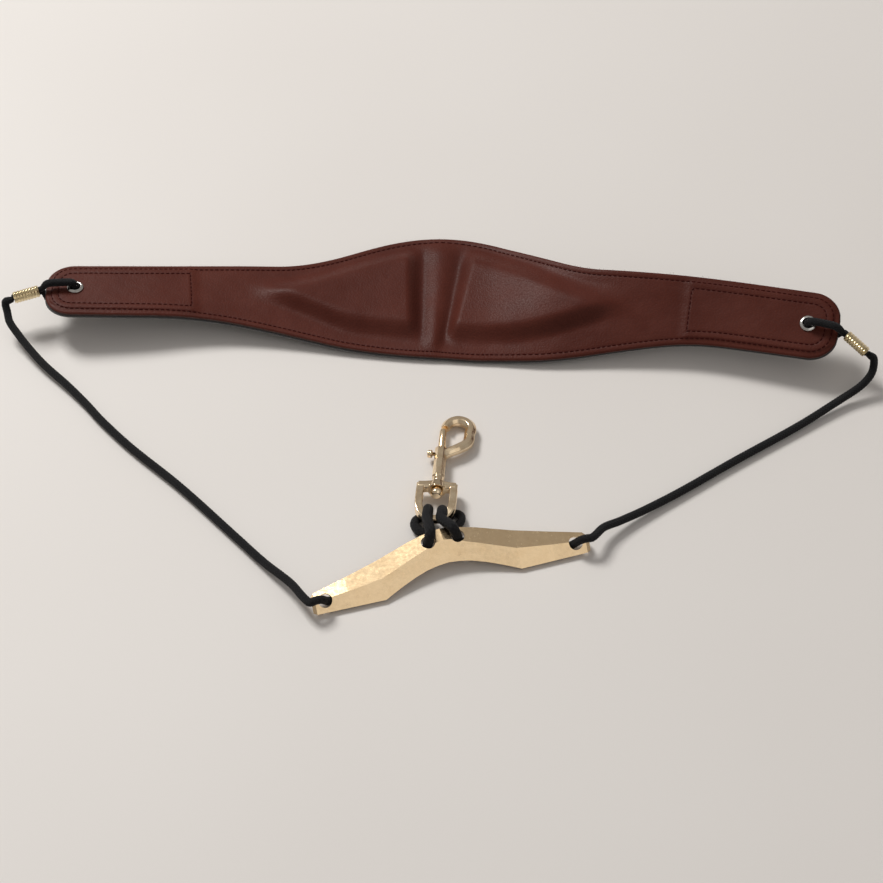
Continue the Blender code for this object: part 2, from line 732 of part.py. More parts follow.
def pivot(name, location_matrix, parent=None):
    empty = bpy.data.objects.new(name, None)
    empty.empty_display_size = 5 * MM
    parts.objects.link(empty)
    bpy.context.view_layer.update()
    if parent:
        empty.parent = parent
        empty.matrix_parent_inverse = Matrix.Identity(4)
        empty.matrix_basis = parent_world[parent.name].inverted() @ location_matrix
    else:
        empty.matrix_world = location_matrix
    parent_world[name] = location_matrix
    return empty


parent_world = {}


def attach(item, parent):
    """Parents the item to the empty without moving it."""
    world = item.matrix_world.copy()
    item.parent = parent
    item.matrix_parent_inverse = Matrix.Identity(4)
    item.matrix_basis = parent_world[parent.name].inverted() @ world


def swivel_eye(frame):
    """A stirrup with a round bar for the cord and a bridge that the stem turns in."""
    offset, width, depth = EYE_ARM
    low, high = EYE_BRIDGE
    outer = offset + width / 2
    inner = offset - width / 2
    round_end = depth / 2
    item = box("swivel_eye", (-outer, 0, -depth / 2), (outer, high, depth / 2), SNAP_GOLD, parts, frame)
    bevel(item, 0.9 * MM, segments=2, angle=60)
    ends = cylinder("eye_round_ends", (-outer + 0.2 * MM, 0, 0), (outer - 0.2 * MM, 0, 0), round_end,
                    matrix=frame)
    boolean(item, ends, "UNION")
    opening = box("eye_opening", (-inner, -4 * MM, -depth), (inner, low, depth), matrix=frame)
    bevel(opening, 1.6 * MM, segments=3, angle=60)
    boolean(item, opening)
    bar = cylinder("eye_bar", (-offset, 0, 0), (offset, 0, 0), EYE_BAR_RADIUS, matrix=frame, sides=20)
    boolean(item, bar, "UNION")
    boss = cylinder("eye_boss", (0, low - 0.5 * MM, 0), (0, high + 0.5 * MM, 0), 3.3 * MM, matrix=frame)
    boolean(item, boss, "UNION")
    hole = cylinder("eye_stem_hole", (0, low - 3 * MM, 0), (0, high + 3 * MM, 0), STEM_RADIUS + GAP,
                    matrix=frame)
    boolean(item, hole)
    return item


def hook_route():
    """The hook's centre line, from the barrel's side round to its nose."""
    centre_x, centre_y = HOOK_CENTRE
    points = [Vector((x * MM, y * MM, 0)) for x, y in ((1.2, 39.0), (4.2, 42.4), (8.2, 45.2), (11.6, 48.8))]
    for angle in (-22, 0, 22, 45, 68, 90, 112, 135, 158, 176):
        turn = math.radians(angle)
        points.append(Vector((centre_x + HOOK_BEND * math.cos(turn), centre_y + HOOK_BEND * math.sin(turn), 0)))
    return points


def snap_hook(frame):
    """Hook, barrel, collar, stem and riveted stem head, cast in one."""
    start, end, radius = BARREL
    item = cylinder("snap_hook", (0, start, 0), (0, end, 0), radius, SNAP_GOLD, parts, frame)
    bevel(item, 0.5 * MM, segments=2, angle=40)
    hook = mesh_from_curve(cord("hook_sweep", smooth_route(hook_route(), 2.4 * MM), look=SNAP_GOLD,
                                radius=HOOK_RADIUS))
    parts.objects.unlink(hook)
    cutters.objects.link(hook)
    hook.matrix_world = frame
    boolean(item, hook, "UNION")
    stem = cylinder("snap_stem", (0, STEM_HEAD[0] + 0.2 * MM, 0), (0, start + 0.5 * MM, 0), STEM_RADIUS,
                    matrix=frame)
    boolean(item, stem, "UNION")
    head = cylinder("snap_stem_head", (0, STEM_HEAD[0], 0), (0, STEM_HEAD[1], 0), STEM_HEAD[2], matrix=frame)
    bevel(head, 0.5 * MM)
    boolean(item, head, "UNION")
    collar = cylinder("snap_collar", (0, COLLAR[0], 0), (0, COLLAR[1], 0), COLLAR[2], matrix=frame)
    bevel(collar, 0.5 * MM)
    boolean(item, collar, "UNION")
    bore = cylinder("snap_bore", (0, BORE_START, 0), (0, end + 12 * MM, 0), BORE_RADIUS, matrix=frame)
    boolean(item, bore)
    slot_start = STUD_PLACE - BOLT_TRAVEL - STUD_PIN_RADIUS - GAP
    slot = box("snap_slot", (-6 * MM, slot_start, -SLOT_HALF_WIDTH),
               (-1 * MM, STUD_PLACE + STUD_PIN_RADIUS + GAP, SLOT_HALF_WIDTH), matrix=frame)
    boolean(item, slot)
    return item


def bolt(frame):
    start, end = BOLT
    item = cylinder("bolt", (0, start, 0), (0, end, 0), BOLT_RADIUS, SNAP_GOLD, parts, frame)
    bevel(item, 0.4 * MM)
    socket = cylinder("bolt_socket", (-6 * MM, STUD_PLACE, 0), (-0.4 * MM, STUD_PLACE, 0),
                      STUD_PIN_RADIUS + 0.15 * MM, matrix=frame, sides=16)
    boolean(item, socket)
    return item


def thumb_stud(frame):
    near, far, radius = STUD_KNOB
    profile = [(0.0, 0.7 * MM), (STUD_PIN_RADIUS, 0.7 * MM), (STUD_PIN_RADIUS, near), (radius * 0.8, near),
               (radius, near + 0.5 * MM), (radius, far - 0.7 * MM), (radius * 0.72, far - 0.15 * MM),
               (0.0, far)]
    turn = Matrix.Translation((0, STUD_PLACE, 0)) @ Matrix.Rotation(math.radians(-90), 4, "Y")
    item = turned("thumb_stud", profile, SNAP_GOLD, frame @ turn, steps=16)
    return item


def bolt_spring(frame):
    low, high = BORE_START + 0.6 * MM, BOLT[0] - 0.6 * MM
    samples = SPRING_COILS * 9
    points = []
    for i in range(samples + 1):
        turn = 2 * math.pi * SPRING_COILS * i / samples
        points.append(Vector((SPRING_RADIUS * math.cos(turn), low + (high - low) * i / samples,
                              SPRING_RADIUS * math.sin(turn))))
    item = cord("bolt_spring", points, look=STEEL, radius=SPRING_WIRE)
    item.data.bevel_resolution = 0
    item.matrix_world = frame
    return item


# Assembly

def move_to_origin(roots, free_cords):
    """Brings the bottom centre of everything but the free cords to the origin."""
    bpy.context.view_layer.update()
    graph = bpy.context.evaluated_depsgraph_get()
    corners = []
    for item in parts.objects:
        if item.type == "EMPTY" or item in free_cords:
            continue
        shape = item.evaluated_get(graph)
        mesh = shape.to_mesh()
        corners += [item.matrix_world @ vert.co for vert in mesh.vertices]
        shape.to_mesh_clear()
    low = Vector([min(corner[k] for corner in corners) for k in range(3)])
    high = Vector([max(corner[k] for corner in corners) for k in range(3)])
    shift = Vector((-(low.x + high.x) / 2, -(low.y + high.y) / 2, -low.z))
    for item in roots:
        item.location += shift
    bpy.context.view_layer.update()


def build():
    pad = [leather_cover(), backing_lining(), foam_pad("foam_pad_left", -1), foam_pad("foam_pad_right", 1)]
    for side_name, side in (("left", -1), ("right", 1)):
        frame = eyelet_frame(side)
        board = stiffener(side_name + "_end_stiffener", side)
        hole_radius = EYELET_BORE + EYELET_WALL + GAP
        for index, sheet in enumerate((pad[0], pad[1], board)):
            punch = cylinder(f"{side_name}_punch_{index}", (0, 0, -6 * MM), (0, 0, 10 * MM), hole_radius,
                             matrix=frame)
            boolean(sheet, punch)
        eyelet(side_name, frame)
        eyelet_washer(side_name, frame)
        eyelet_loop(side_name, side)
        ferrule(side_name, side)
    spreader_bar()
    hitch_cord()
    left = free_cord("left", -1, LEFT_ROUTE)
    right = free_cord("right", 1, RIGHT_ROUTE)
    frame = snap_matrix()
    eye_pivot = pivot("eye_pivot", frame)
    swivel = pivot("swivel_axis", frame @ Matrix.Translation((0, EYE_BRIDGE[1], 0)), eye_pivot)
    slide = pivot("bolt_slide", frame @ Matrix.Translation((0, BOLT[0], 0)), swivel)
    eye = swivel_eye(frame)
    hook = snap_hook(frame)
    moving = [(eye, eye_pivot), (hook, swivel), (bolt_spring(frame), swivel), (bolt(frame), slide),
              (thumb_stud(frame), slide)]
    bpy.context.view_layer.update()
    for item, parent in moving:
        attach(item, parent)
    bpy.context.view_layer.update()
    roots = [item for item in bpy.data.objects if item.parent is None]
    move_to_origin(roots, (left, right))


build()
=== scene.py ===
"""Saxophone neck strap on a pale table: padded leather, braided cord, brass ferrules, a folded
metal bar and a swivel bolt snap."""
import json
import math
import random

import bmesh
import bpy
from mathutils import Matrix, Vector, noise


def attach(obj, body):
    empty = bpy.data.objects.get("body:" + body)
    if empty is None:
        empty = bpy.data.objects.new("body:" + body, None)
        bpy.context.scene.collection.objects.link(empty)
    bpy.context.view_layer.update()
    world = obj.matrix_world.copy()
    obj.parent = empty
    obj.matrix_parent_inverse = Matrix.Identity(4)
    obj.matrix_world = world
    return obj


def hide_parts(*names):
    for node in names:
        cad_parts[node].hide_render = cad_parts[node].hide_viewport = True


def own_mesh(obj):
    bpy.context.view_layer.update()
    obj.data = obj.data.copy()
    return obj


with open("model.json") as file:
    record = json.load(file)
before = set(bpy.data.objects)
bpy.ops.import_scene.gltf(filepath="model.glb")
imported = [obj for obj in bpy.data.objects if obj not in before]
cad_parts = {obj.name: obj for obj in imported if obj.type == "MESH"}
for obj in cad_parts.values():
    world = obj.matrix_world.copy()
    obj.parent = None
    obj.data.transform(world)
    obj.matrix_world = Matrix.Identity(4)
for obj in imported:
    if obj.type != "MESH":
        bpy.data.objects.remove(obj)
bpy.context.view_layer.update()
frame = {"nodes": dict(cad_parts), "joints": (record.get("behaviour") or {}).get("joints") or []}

MM = 0.001
EYE_SWING = next(joint for joint in frame["joints"] if joint["name"] == "eye_swing")

# The snap's place in the frame that the routes below are written in, and the same in the model's frame
SNAP_PLACE = Vector((-3.5, -51.45, 7.1)) * MM
SHIFT = Vector(EYE_SWING["pos_m"]) - SNAP_PLACE


# Camera

CAMERA_PLACE = Vector((0, -604.74, 720.7)) * MM
CAMERA_SENSOR, CAMERA_LENS, CAMERA_TURN = 36, 81.5, math.radians(40)


def camera():
    data = bpy.data.cameras.new("camera")
    data.sensor_width = CAMERA_SENSOR
    data.lens = CAMERA_LENS
    item = bpy.data.objects.new("camera", data)
    bpy.context.scene.collection.objects.link(item)
    item.location = CAMERA_PLACE + SHIFT
    item.rotation_euler = (CAMERA_TURN, 0, 0)
    bpy.context.scene.camera = item
    bpy.context.scene.view_settings.view_transform = "Standard"


camera()


# Material building blocks

def new_material(name, colour, roughness, metallic=0.0, **sockets):
    made = bpy.data.materials.new(name)
    made.use_nodes = True
    made.diffuse_color = (*colour, 1)
    shader = made.node_tree.nodes["Principled BSDF"]
    sockets |= {"Base_Color": (*colour, 1), "Roughness": roughness, "Metallic": metallic}
    for socket, value in sockets.items():
        shader.inputs[socket.replace("_", " ")].default_value = value
    return made, made.node_tree, shader


def add(tree, kind, inputs=None, **settings):
    node = tree.nodes.new("ShaderNode" + kind)
    for name, value in settings.items():
        setattr(node, name, value)
    for name, value in (inputs or {}).items():
        if isinstance(value, bpy.types.NodeSocket):
            tree.links.new(value, node.inputs[name])
        else:
            node.inputs[name].default_value = value
    return node


def place_of(tree):
    return add(tree, "TexCoord").outputs["Object"]


def ramp(tree, factor, low, high, colour_low=(0, 0, 0), colour_high=(1, 1, 1)):
    node = add(tree, "ValToRGB", {"Fac": factor})
    node.color_ramp.elements[0].position = low
    node.color_ramp.elements[1].position = high
    node.color_ramp.elements[0].color = (*colour_low, 1)
    node.color_ramp.elements[1].color = (*colour_high, 1)
    return node.outputs["Color"]


def mix(tree, factor, first, second):
    node = add(tree, "Mix", data_type="RGBA")
    for index, value in ((0, factor), (6, first), (7, second)):
        socket = node.inputs[index]
        if isinstance(value, bpy.types.NodeSocket):
            tree.links.new(value, socket)
        else:
            socket.default_value = (*value, 1)
    return node.outputs[2]


def tinted(tree, base, pattern, low, high, share, colour):
    """The base colour with a share of another one where the pattern is high."""
    return mix(tree, maths(tree, "MULTIPLY", ramp(tree, pattern, low, high), share), base, colour)


def maths(tree, operation, first, second=None):
    node = add(tree, "Math", operation=operation)
    for index, value in enumerate((first, second)):
        if isinstance(value, bpy.types.NodeSocket):
            tree.links.new(value, node.inputs[index])
        elif value is not None:
            node.inputs[index].default_value = value
    return node.outputs[0]


def noise_at(tree, place, scale, detail=4.0, roughness=0.55):
    return add(tree, "TexNoise", {"Vector": place, "Scale": scale, "Detail": detail,
                                  "Roughness": roughness}).outputs["Fac"]


def cells_at(tree, place, scale, **settings):
    return add(tree, "TexVoronoi", {"Vector": place, "Scale": scale}, **settings)


def colour_from(tree, shader, colour):
    tree.links.new(colour, shader.inputs["Base Color"])


def roughness_from(tree, shader, value, from_low, from_high, to_low, to_high):
    node = add(tree, "MapRange", {"Value": value, "From Min": from_low, "From Max": from_high,
                                  "To Min": to_low, "To Max": to_high})
    tree.links.new(node.outputs[0], shader.inputs["Roughness"])


def bump(tree, shader, height, distance, strength, before=None):
    node = add(tree, "Bump", {"Height": height, "Distance": distance, "Strength": strength})
    if before is not None:
        tree.links.new(before, node.inputs["Normal"])
    tree.links.new(node.outputs["Normal"], shader.inputs["Normal"])
    return node.outputs["Normal"]


def leather_material():
    made, tree, shader = new_material("brown_leather", (0.085, 0.017, 0.009), 0.42, Specular_IOR_Level=0.14)
    place = place_of(tree)
    warp = noise_at(tree, place, 260, 3)
    push = add(tree, "CombineXYZ", {axis: maths(tree, "MULTIPLY", warp, reach)
                                    for axis, reach in zip("XYZ", (0.0009, -0.0007, 0.0008))}).outputs[0]
    pushed = add(tree, "VectorMath", {0: place, 1: push}, operation="ADD").outputs[0]
    cells = cells_at(tree, pushed, 1150, feature="SMOOTH_F1")
    cells.inputs["Smoothness"].default_value = 0.35
    pebbles = cells.outputs["Distance"]
    small = cells_at(tree, pushed, 2300).outputs["Distance"]
    creases = noise_at(tree, place, 130, 6, 0.62)
    cloud = noise_at(tree, place, 70, 5)
    blotch = ramp(tree, noise_at(tree, place, 22, 3), 0.30, 0.72)
    base = mix(tree, blotch, (0.070, 0.013, 0.007), (0.100, 0.022, 0.013))
    base = tinted(tree, base, cloud, 0.42, 0.70, 0.35, (0.122, 0.031, 0.021))
    base = tinted(tree, base, pebbles, 0.10, 0.62, 0.30, (0.048, 0.011, 0.008))
    # Painted shade: the leather goes darker in its folds and stitch grooves, from the per-vertex shade that
    # pad_sheet stores.
    groove_shade = add(tree, "Attribute", attribute_name="painted_groove_shade").outputs["Fac"]
    colour_from(tree, shader, mix(tree, maths(tree, "MULTIPLY", groove_shade, 0.75), base, (0.040, 0.011, 0.009)))
    uneven = maths(tree, "ADD", maths(tree, "MULTIPLY", pebbles, 0.5), maths(tree, "MULTIPLY", cloud, 0.6))
    roughness_from(tree, shader, uneven, 0.15, 0.75, 0.33, 0.56)
    grain = maths(tree, "ADD", maths(tree, "MULTIPLY", pebbles, -1.0), maths(tree, "MULTIPLY", small, -0.25))
    bump(tree, shader, creases, 0.0006, 0.16, bump(tree, shader, grain, 0.00016, 0.55))
    return made


def fibrous_material(name, colour, roughness, fibres, tones, relief, patches=None, pile=None, **sockets):
    """Matt fibres of two tones, with patches of a third one; fibres and pile both stand out."""
    made, tree, shader = new_material(name, colour, roughness, **sockets)
    place = place_of(tree)
    fine = noise_at(tree, place, *fibres)
    low, high, dark, light = tones
    base = mix(tree, ramp(tree, fine, low, high), dark, light)
    if patches:
        scale, *tint = patches
        base = tinted(tree, base, noise_at(tree, place, scale, 3), *tint)
    colour_from(tree, shader, base)
    raised = bump(tree, shader, fine, *relief)
    if pile:
        bump(tree, shader, noise_at(tree, place, *pile), 0.0007, 0.35, raised)
    return made


def foam_material():
    made, tree, shader = new_material("foam", (0.36, 0.35, 0.32), 0.95)
    pores = cells_at(tree, place_of(tree), 1500).outputs["Distance"]
    colour_from(tree, shader, mix(tree, ramp(tree, pores, 0.1, 0.6), (0.20, 0.19, 0.17), (0.42, 0.41, 0.38)))
    bump(tree, shader, pores, 0.0004, 0.8)
    return made


YARNS_PER_STRAND = 8


def cord_material():
    made, tree, shader = new_material("black_cord", (0.007, 0.007, 0.008), 0.66, Sheen_Weight=0.05,
                                      Sheen_Roughness=0.4, Specular_IOR_Level=0.22)
    uv = add(tree, "SeparateXYZ", {0: add(tree, "UVMap", uv_map="braid").outputs[0]})
    along, around = uv.outputs["X"], uv.outputs["Y"]
    crossing = [maths(tree, operation, around, along) for operation in ("ADD", "SUBTRACT")]

    def waves(per_cell):
        return [maths(tree, "SINE", maths(tree, "MULTIPLY", way, per_cell * math.pi)) for way in crossing]

    woven = maths(tree, "MULTIPLY", *waves(1))
    on_top = maths(tree, "GREATER_THAN", woven, 0.0)
    yarn_first, yarn_second = waves(YARNS_PER_STRAND)
    chosen = {"Factor": on_top, "A": yarn_second, "B": yarn_first}
    yarns = add(tree, "Mix", chosen, data_type="FLOAT").outputs[0]
    # Painted shade: the braid goes darker in the gaps between its strands and lighter on the strand tops.
    strand_gap_shade = ramp(tree, maths(tree, "ABSOLUTE", woven), 0.02, 0.55)
    place = place_of(tree)
    fuzz = noise_at(tree, place, 2600, 4, 0.6)
    base = mix(tree, strand_gap_shade, (0.0015, 0.0015, 0.002), (0.010, 0.010, 0.012))
    base = tinted(tree, base, fuzz, 0.45, 0.75, 0.45, (0.022, 0.022, 0.025))
    base = tinted(tree, base, noise_at(tree, place, 110, 3), 0.50, 0.75, 0.30, (0.020, 0.019, 0.019))
    colour_from(tree, shader, base)
    roughness_from(tree, shader, fuzz, 0.3, 0.7, 0.50, 0.78)
    bump(tree, shader, fuzz, 0.0001, 0.4, bump(tree, shader, yarns, 0.00007, 0.8))
    return made


def metal_material(name, light, dark, roughness, scratch=0.25, cast=0.0):
    """Plated metal: faint scratches, uneven polish and slight tarnish in its colour."""
    made, tree, shader = new_material(name, light, roughness, 1.0)
    place = place_of(tree)
    tarnish = ramp(tree, noise_at(tree, place, 160, 5, 0.6), 0.42, 0.72)
    colour_from(tree, shader, mix(tree, tarnish, light, dark))
    drawn = add(tree, "Mapping", {"Vector": place, "Rotation": (0.3, 0.2, 0.5), "Scale": (220, 5200, 5200)})
    scratches = noise_at(tree, drawn.outputs[0], 1.0, 2, 0.5)
    polish = maths(tree, "MULTIPLY", noise_at(tree, place, 620, 4, 0.6), 0.7)
    uneven = maths(tree, "ADD", polish, maths(tree, "MULTIPLY", scratches, 0.3))
    roughness_from(tree, shader, uneven, 0.3, 0.7, roughness * 0.65, roughness * 1.5)
    bumped = bump(tree, shader, scratches, 0.00002, scratch)
    if cast:
        bump(tree, shader, noise_at(tree, place, 420, 3, 0.5), 0.0004, cast, bumped)
    return made


LEATHER = leather_material()
CUT_EDGE = fibrous_material(
    "leather_cut_edge", (0.10, 0.042, 0.032), 0.85, (2400, 5, 0.7),
    (0.35, 0.70, (0.034, 0.012, 0.009), (0.120, 0.048, 0.036)), (0.0003, 0.7),
    patches=(240, 0.40, 0.65, 0.5, (0.085, 0.060, 0.055)), Sheen_Weight=0.05)
LINING = fibrous_material(
    "dark_lining", (0.030, 0.030, 0.032), 0.92, (3200, 4, 0.7),
    (0.32, 0.72, (0.016, 0.016, 0.018), (0.058, 0.057, 0.058)), (0.00025, 0.6),
    patches=(60, 0.40, 0.66, 0.45, (0.052, 0.050, 0.049)), pile=(420, 4, 0.6),
    Sheen_Weight=0.35, Sheen_Roughness=0.6)
FOAM = foam_material()
BOARD = fibrous_material(
    "stiffener_board", (0.25, 0.20, 0.14), 0.85, (900, 6, 0.7),
    (0.35, 0.70, (0.18, 0.14, 0.10), (0.31, 0.25, 0.18)), (0.0002, 0.5))
THREAD = fibrous_material(
    "red_thread", (0.050, 0.006, 0.005), 0.80, (5200, 3, 0.5),
    (0.35, 0.68, (0.020, 0.003, 0.003), (0.070, 0.008, 0.006)), (0.00012, 0.7),
    patches=(180, 0.4, 0.7, 0.4, (0.052, 0.008, 0.007)), Specular_IOR_Level=0.06)
CORD = cord_material()
NICKEL = metal_material("nickel_plate", (0.72, 0.71, 0.68), (0.50, 0.48, 0.45), 0.20)
BRASS = metal_material("pale_brass", (0.80, 0.66, 0.40), (0.52, 0.40, 0.20), 0.26)
GOLD = metal_material("champagne_gold", (0.90, 0.68, 0.42), (0.86, 0.635, 0.38), 0.20, 0.20)
SNAP_GOLD = metal_material("gold_casting", (0.97, 0.79, 0.55), (0.80, 0.60, 0.38), 0.15, 0.20, 0.06)
STEEL = metal_material("spring_steel", (0.45, 0.45, 0.46), (0.30, 0.30, 0.31), 0.30)


# Mesh helpers

ROUTE_STEP, CASTING_STEP = 0.25 * MM, 0.5 * MM


def link(name, mesh, materials, smooth=True):
    item = bpy.data.objects.new(name, mesh)
    bpy.context.scene.collection.objects.link(item)
    for look in materials:
        mesh.materials.append(look)
    if smooth:
        for face in mesh.polygons:
            face.use_smooth = True
    return item


def from_bmesh(bm, name, materials, smooth=True, recalc=True):
    if recalc:
        bmesh.ops.recalc_face_normals(bm, faces=bm.faces[:])
    mesh = bpy.data.meshes.new(name)
    bm.to_mesh(mesh)
    bm.free()
    return link(name, mesh, materials, smooth)


def applied(item):
    """The object's evaluated mesh, in place of its own and its modifiers."""
    graph = bpy.context.evaluated_depsgraph_get()
    mesh = bpy.data.meshes.new_from_object(item.evaluated_get(graph))
    item.modifiers.clear()
    item.data = mesh
    return item


def modify(item, kind, **settings):
    modifier = item.modifiers.new(kind.lower(), kind)
    for name, value in settings.items():
        setattr(modifier, name, value)


def drilled(item, cutter):
    """Cuts the cutter's shape out of the item, and removes the cutter."""
    modify(item, "BOOLEAN", object=cutter, solver="EXACT")
    applied(item)
    bpy.data.objects.remove(cutter, do_unlink=True)


def rod(start, end, radius, sides=48, second=None, turn=0.0):
    """A round or many-sided rod between two points, in millimetres; its end may have a second radius."""
    start, end = Vector(start) * MM, Vector(end) * MM
    along = end - start
    align = Vector((0, 0, 1)).rotation_difference(along).to_matrix().to_4x4() @ Matrix.Rotation(turn, 4, "Z")
    bm = bmesh.new()
    bmesh.ops.create_cone(bm, cap_ends=True, segments=sides, radius1=radius * MM,
                          radius2=(second or radius) * MM, depth=along.length,
                          matrix=Matrix.Translation((start + end) / 2) @ align)
    return from_bmesh(bm, "rod", [])


def smoothstep(value, low, high):
    t = min(1.0, max(0.0, (value - low) / (high - low)))
    return t * t * (3 - 2 * t)


def hermite(t, start, slope_start, end, slope_end):
    return ((2 * t**3 - 3 * t**2 + 1) * start + (t**3 - 2 * t**2 + t) * slope_start
            + (3 * t**2 - 2 * t**3) * end + (t**3 - t**2) * slope_end)


def evenly(points, count_for):
    """Points at even distances along a line of points; count_for(length) is the number of steps."""
    points = [Vector(point) for point in points]
    travelled = [0.0]
    for a, b in zip(points, points[1:]):
        travelled.append(travelled[-1] + (b - a).length)
    count = count_for(travelled[-1])
    result, index = [], 0
    for step in range(count + 1):
        goal = travelled[-1] * step / count
        while index < len(points) - 2 and travelled[index + 1] < goal:
            index += 1
        part = (goal - travelled[index]) / max(1e-9, travelled[index + 1] - travelled[index])
        result.append(points[index].lerp(points[index + 1], part))
    return result


def smooth_route(points, spacing):
    """Evenly spaced points on a smooth curve through the route points."""
    points = [Vector(point) for point in points]
    padded = [2 * points[0] - points[1]] + points + [2 * points[-1] - points[-2]]
    dense = []
    for a, b, c, d in zip(padded, padded[1:], padded[2:], padded[3:]):
        before, span, after = (b - a).length, (c - b).length, (d - c).length
        steps = max(4, int(span / ROUTE_STEP))
        slope_b = (c - a) * span / (span + before)
        slope_c = (d - b) * span / (span + after)
        dense += [hermite(i / steps, b, slope_b, c, slope_c) for i in range(steps)]
    return evenly(dense + [points[-1]], lambda length: max(2, round(length / spacing)))


def route_length(points):
    return sum((b - a).length for a, b in zip(points, points[1:]))


def turning_frames(points):
    """A tangent and two normals at each point, without twist."""
    tangents = []
    for index in range(len(points)):
        ahead = points[min(index + 1, len(points) - 1)]
        behind = points[max(index - 1, 0)]
        tangents.append((ahead - behind).normalized())
    normal = tangents[0].orthogonal().normalized()
    frames = []
    for tangent in tangents:
        normal = (normal - tangent * normal.dot(tangent)).normalized()
        frames.append((tangent, normal, tangent.cross(normal)))
    return frames


def skin(bm, rings, loop=False):
    """Faces from ring to ring, with a cap at both ends unless they form a loop."""
    count = len(rings[0])
    for first, second in zip(rings, rings[1:] + (rings[:1] if loop else [])):
        for k in range(count):
            bm.faces.new((first[k], first[(k + 1) % count], second[(k + 1) % count], second[k]))
    if not loop:
        bm.faces.new(rings[0][::-1])
        bm.faces.new(rings[-1])


def sweep(bm, points, section, ratios):
    """A tube: section points (across, up) carried along the points, at a ratio for each."""
    rings = []
    for point, (_, normal, side), ratio in zip(points, turning_frames(points), ratios):
        rings.append([bm.verts.new(point + normal * a * ratio + side * b * ratio) for a, b in section])
    skin(bm, rings)


# Braided cord

CORD_RADIUS = 1.95 * MM
CRIMPED_RATIO = 0.77
BRAID_STRANDS = 8
BRAID_CELL = 2 * math.pi * CORD_RADIUS / BRAID_STRANDS
BRAID_RELIEF = 0.30 * MM
BRAID_STEP, BRAID_SIDES = 0.36 * MM, 40
END_ROUNDING, END_START = 0.75 * MM, 0.12 * MM


def braided(name, points, ratio_at):
    """A tube with the relief of a round braid; ratio_at(point) draws it in."""
    fine = smooth_route(points, BRAID_STEP)
    total = route_length(fine)
    bm = bmesh.new()
    layer = bm.loops.layers.uv.new("braid")
    rings, cells = [], []
    travelled = 0.0
    for index, (point, (_, normal, side)) in enumerate(zip(fine, turning_frames(fine))):
        if index:
            travelled += (point - fine[index - 1]).length
        along = travelled / BRAID_CELL
        nearest_end = min(travelled, total - travelled)
        rounding = math.sqrt(max(0.0, 1 - (1 - min(1.0, (nearest_end + END_START) / END_ROUNDING))**2))
        outer = CORD_RADIUS * ratio_at(point)
        ring = []
        for k in range(BRAID_SIDES):
            turn = 2 * math.pi * k / BRAID_SIDES
            around = BRAID_STRANDS * k / BRAID_SIDES
            first = math.sin(math.pi * (around + along))
            second = math.sin(math.pi * (around - along))
            across, length_wise = (first, second) if first * second > 0 else (second, first)
            lift = abs(across)**0.65 * abs(length_wise)**0.30
            reach = (outer - BRAID_RELIEF * (1 - lift)) * (0.25 + 0.75 * rounding)
            ring.append(bm.verts.new(point + (normal * math.cos(turn) + side * math.sin(turn)) * reach))
        rings.append(ring)
        cells.append(along)
    skin(bm, rings)
    step = BRAID_STRANDS / BRAID_SIDES
    for index, face in enumerate(list(bm.faces)[:-2]):
        ring, k = divmod(index, BRAID_SIDES)
        low, high = cells[ring], cells[ring + 1]
        for loop, (u, v) in zip(face.loops, ((low, k), (low, k + 1), (high, k + 1), (high, k))):
            loop[layer].uv = (u, v * step)
    return from_bmesh(bm, name, [CORD]), fine


# The pad's lying shape

PAD_HALF = 196.5 * MM
PAD_MIDDLE_X, PAD_SPAN_RATIO = -1.7 * MM, 0.977
TAB_HALF_WIDTH, TAB_CORNER = 17 * MM, 13 * MM
SWELLS = {1: (19 * MM, 82 * MM), -1: (26 * MM, 145 * MM)}
LINING_THICKNESS, LEATHER_THICKNESS = 1.0 * MM, 1.4 * MM
STIFFENER_THICKNESS, GAP = 0.6 * MM, 0.3 * MM
FOAM_INNER, FOAM_OUTER, FOAM_MARGINS = 8.5 * MM, 96 * MM, (10 * MM, 6 * MM)
LEATHER_RISE, FOAM_SAG = 5.6 * MM, 2.6 * MM
RIDGE_HEIGHT, RIDGE_HALF_WIDTH = 2.0 * MM, 6.2 * MM
STITCH_INSET, BOX_INSET, BOX_INNER = 3.0 * MM, 6.4 * MM, 125 * MM
STITCH_DEPTH, RIM_ROUNDING = 0.14 * MM, 0.45 * MM
FOLD_PLACE, FOLD_WIDTH, FOLD_DEPTH = 8.0 * MM, 2.6 * MM, 0.45 * MM
# Distance along the pad, depth, height (millimetres) and roll (degrees)
PAD_POSE = (
    (-196.5, 81.5, 16.5, -3), (-150, 83.5, 13.9, -1), (-100, 88.7, 8.2, 1), (-50, 92.5, 3.4, 2),
    (0, 94.0, 2.4, 2), (30, 88.5, 4.8, 6), (60, 80.0, 12.0, 17), (90, 74.0, 15.8, 24),
    (130, 67.5, 17.5, 24), (196.5, 52.0, 20.7, 21),
)


def pad_pose(s):
    """Depth, height and roll of the pad's centre line at a distance along it."""
    s = s / MM
    index = 0
    while index < len(PAD_POSE) - 2 and s > PAD_POSE[index + 1][0]:
        index += 1
    before, start = PAD_POSE[max(0, index - 1)], PAD_POSE[index]
    end, after = PAD_POSE[index + 1], PAD_POSE[min(len(PAD_POSE) - 1, index + 2)]
    span = end[0] - start[0]
    t = (s - start[0]) / span
    values = []
    for k in (1, 2, 3):
        slope_start = (end[k] - before[k]) / max(end[0] - before[0], span)
        slope_end = (after[k] - start[k]) / max(after[0] - start[0], span)
        values.append(hermite(t, start[k], slope_start * span, end[k], slope_end * span))
    return values[0] * MM, values[1] * MM, math.radians(values[2])


def pad_centre(s):
    depth, height, _ = pad_pose(s)
    return Vector((PAD_MIDDLE_X + PAD_SPAN_RATIO * s, depth, height)) + SHIFT


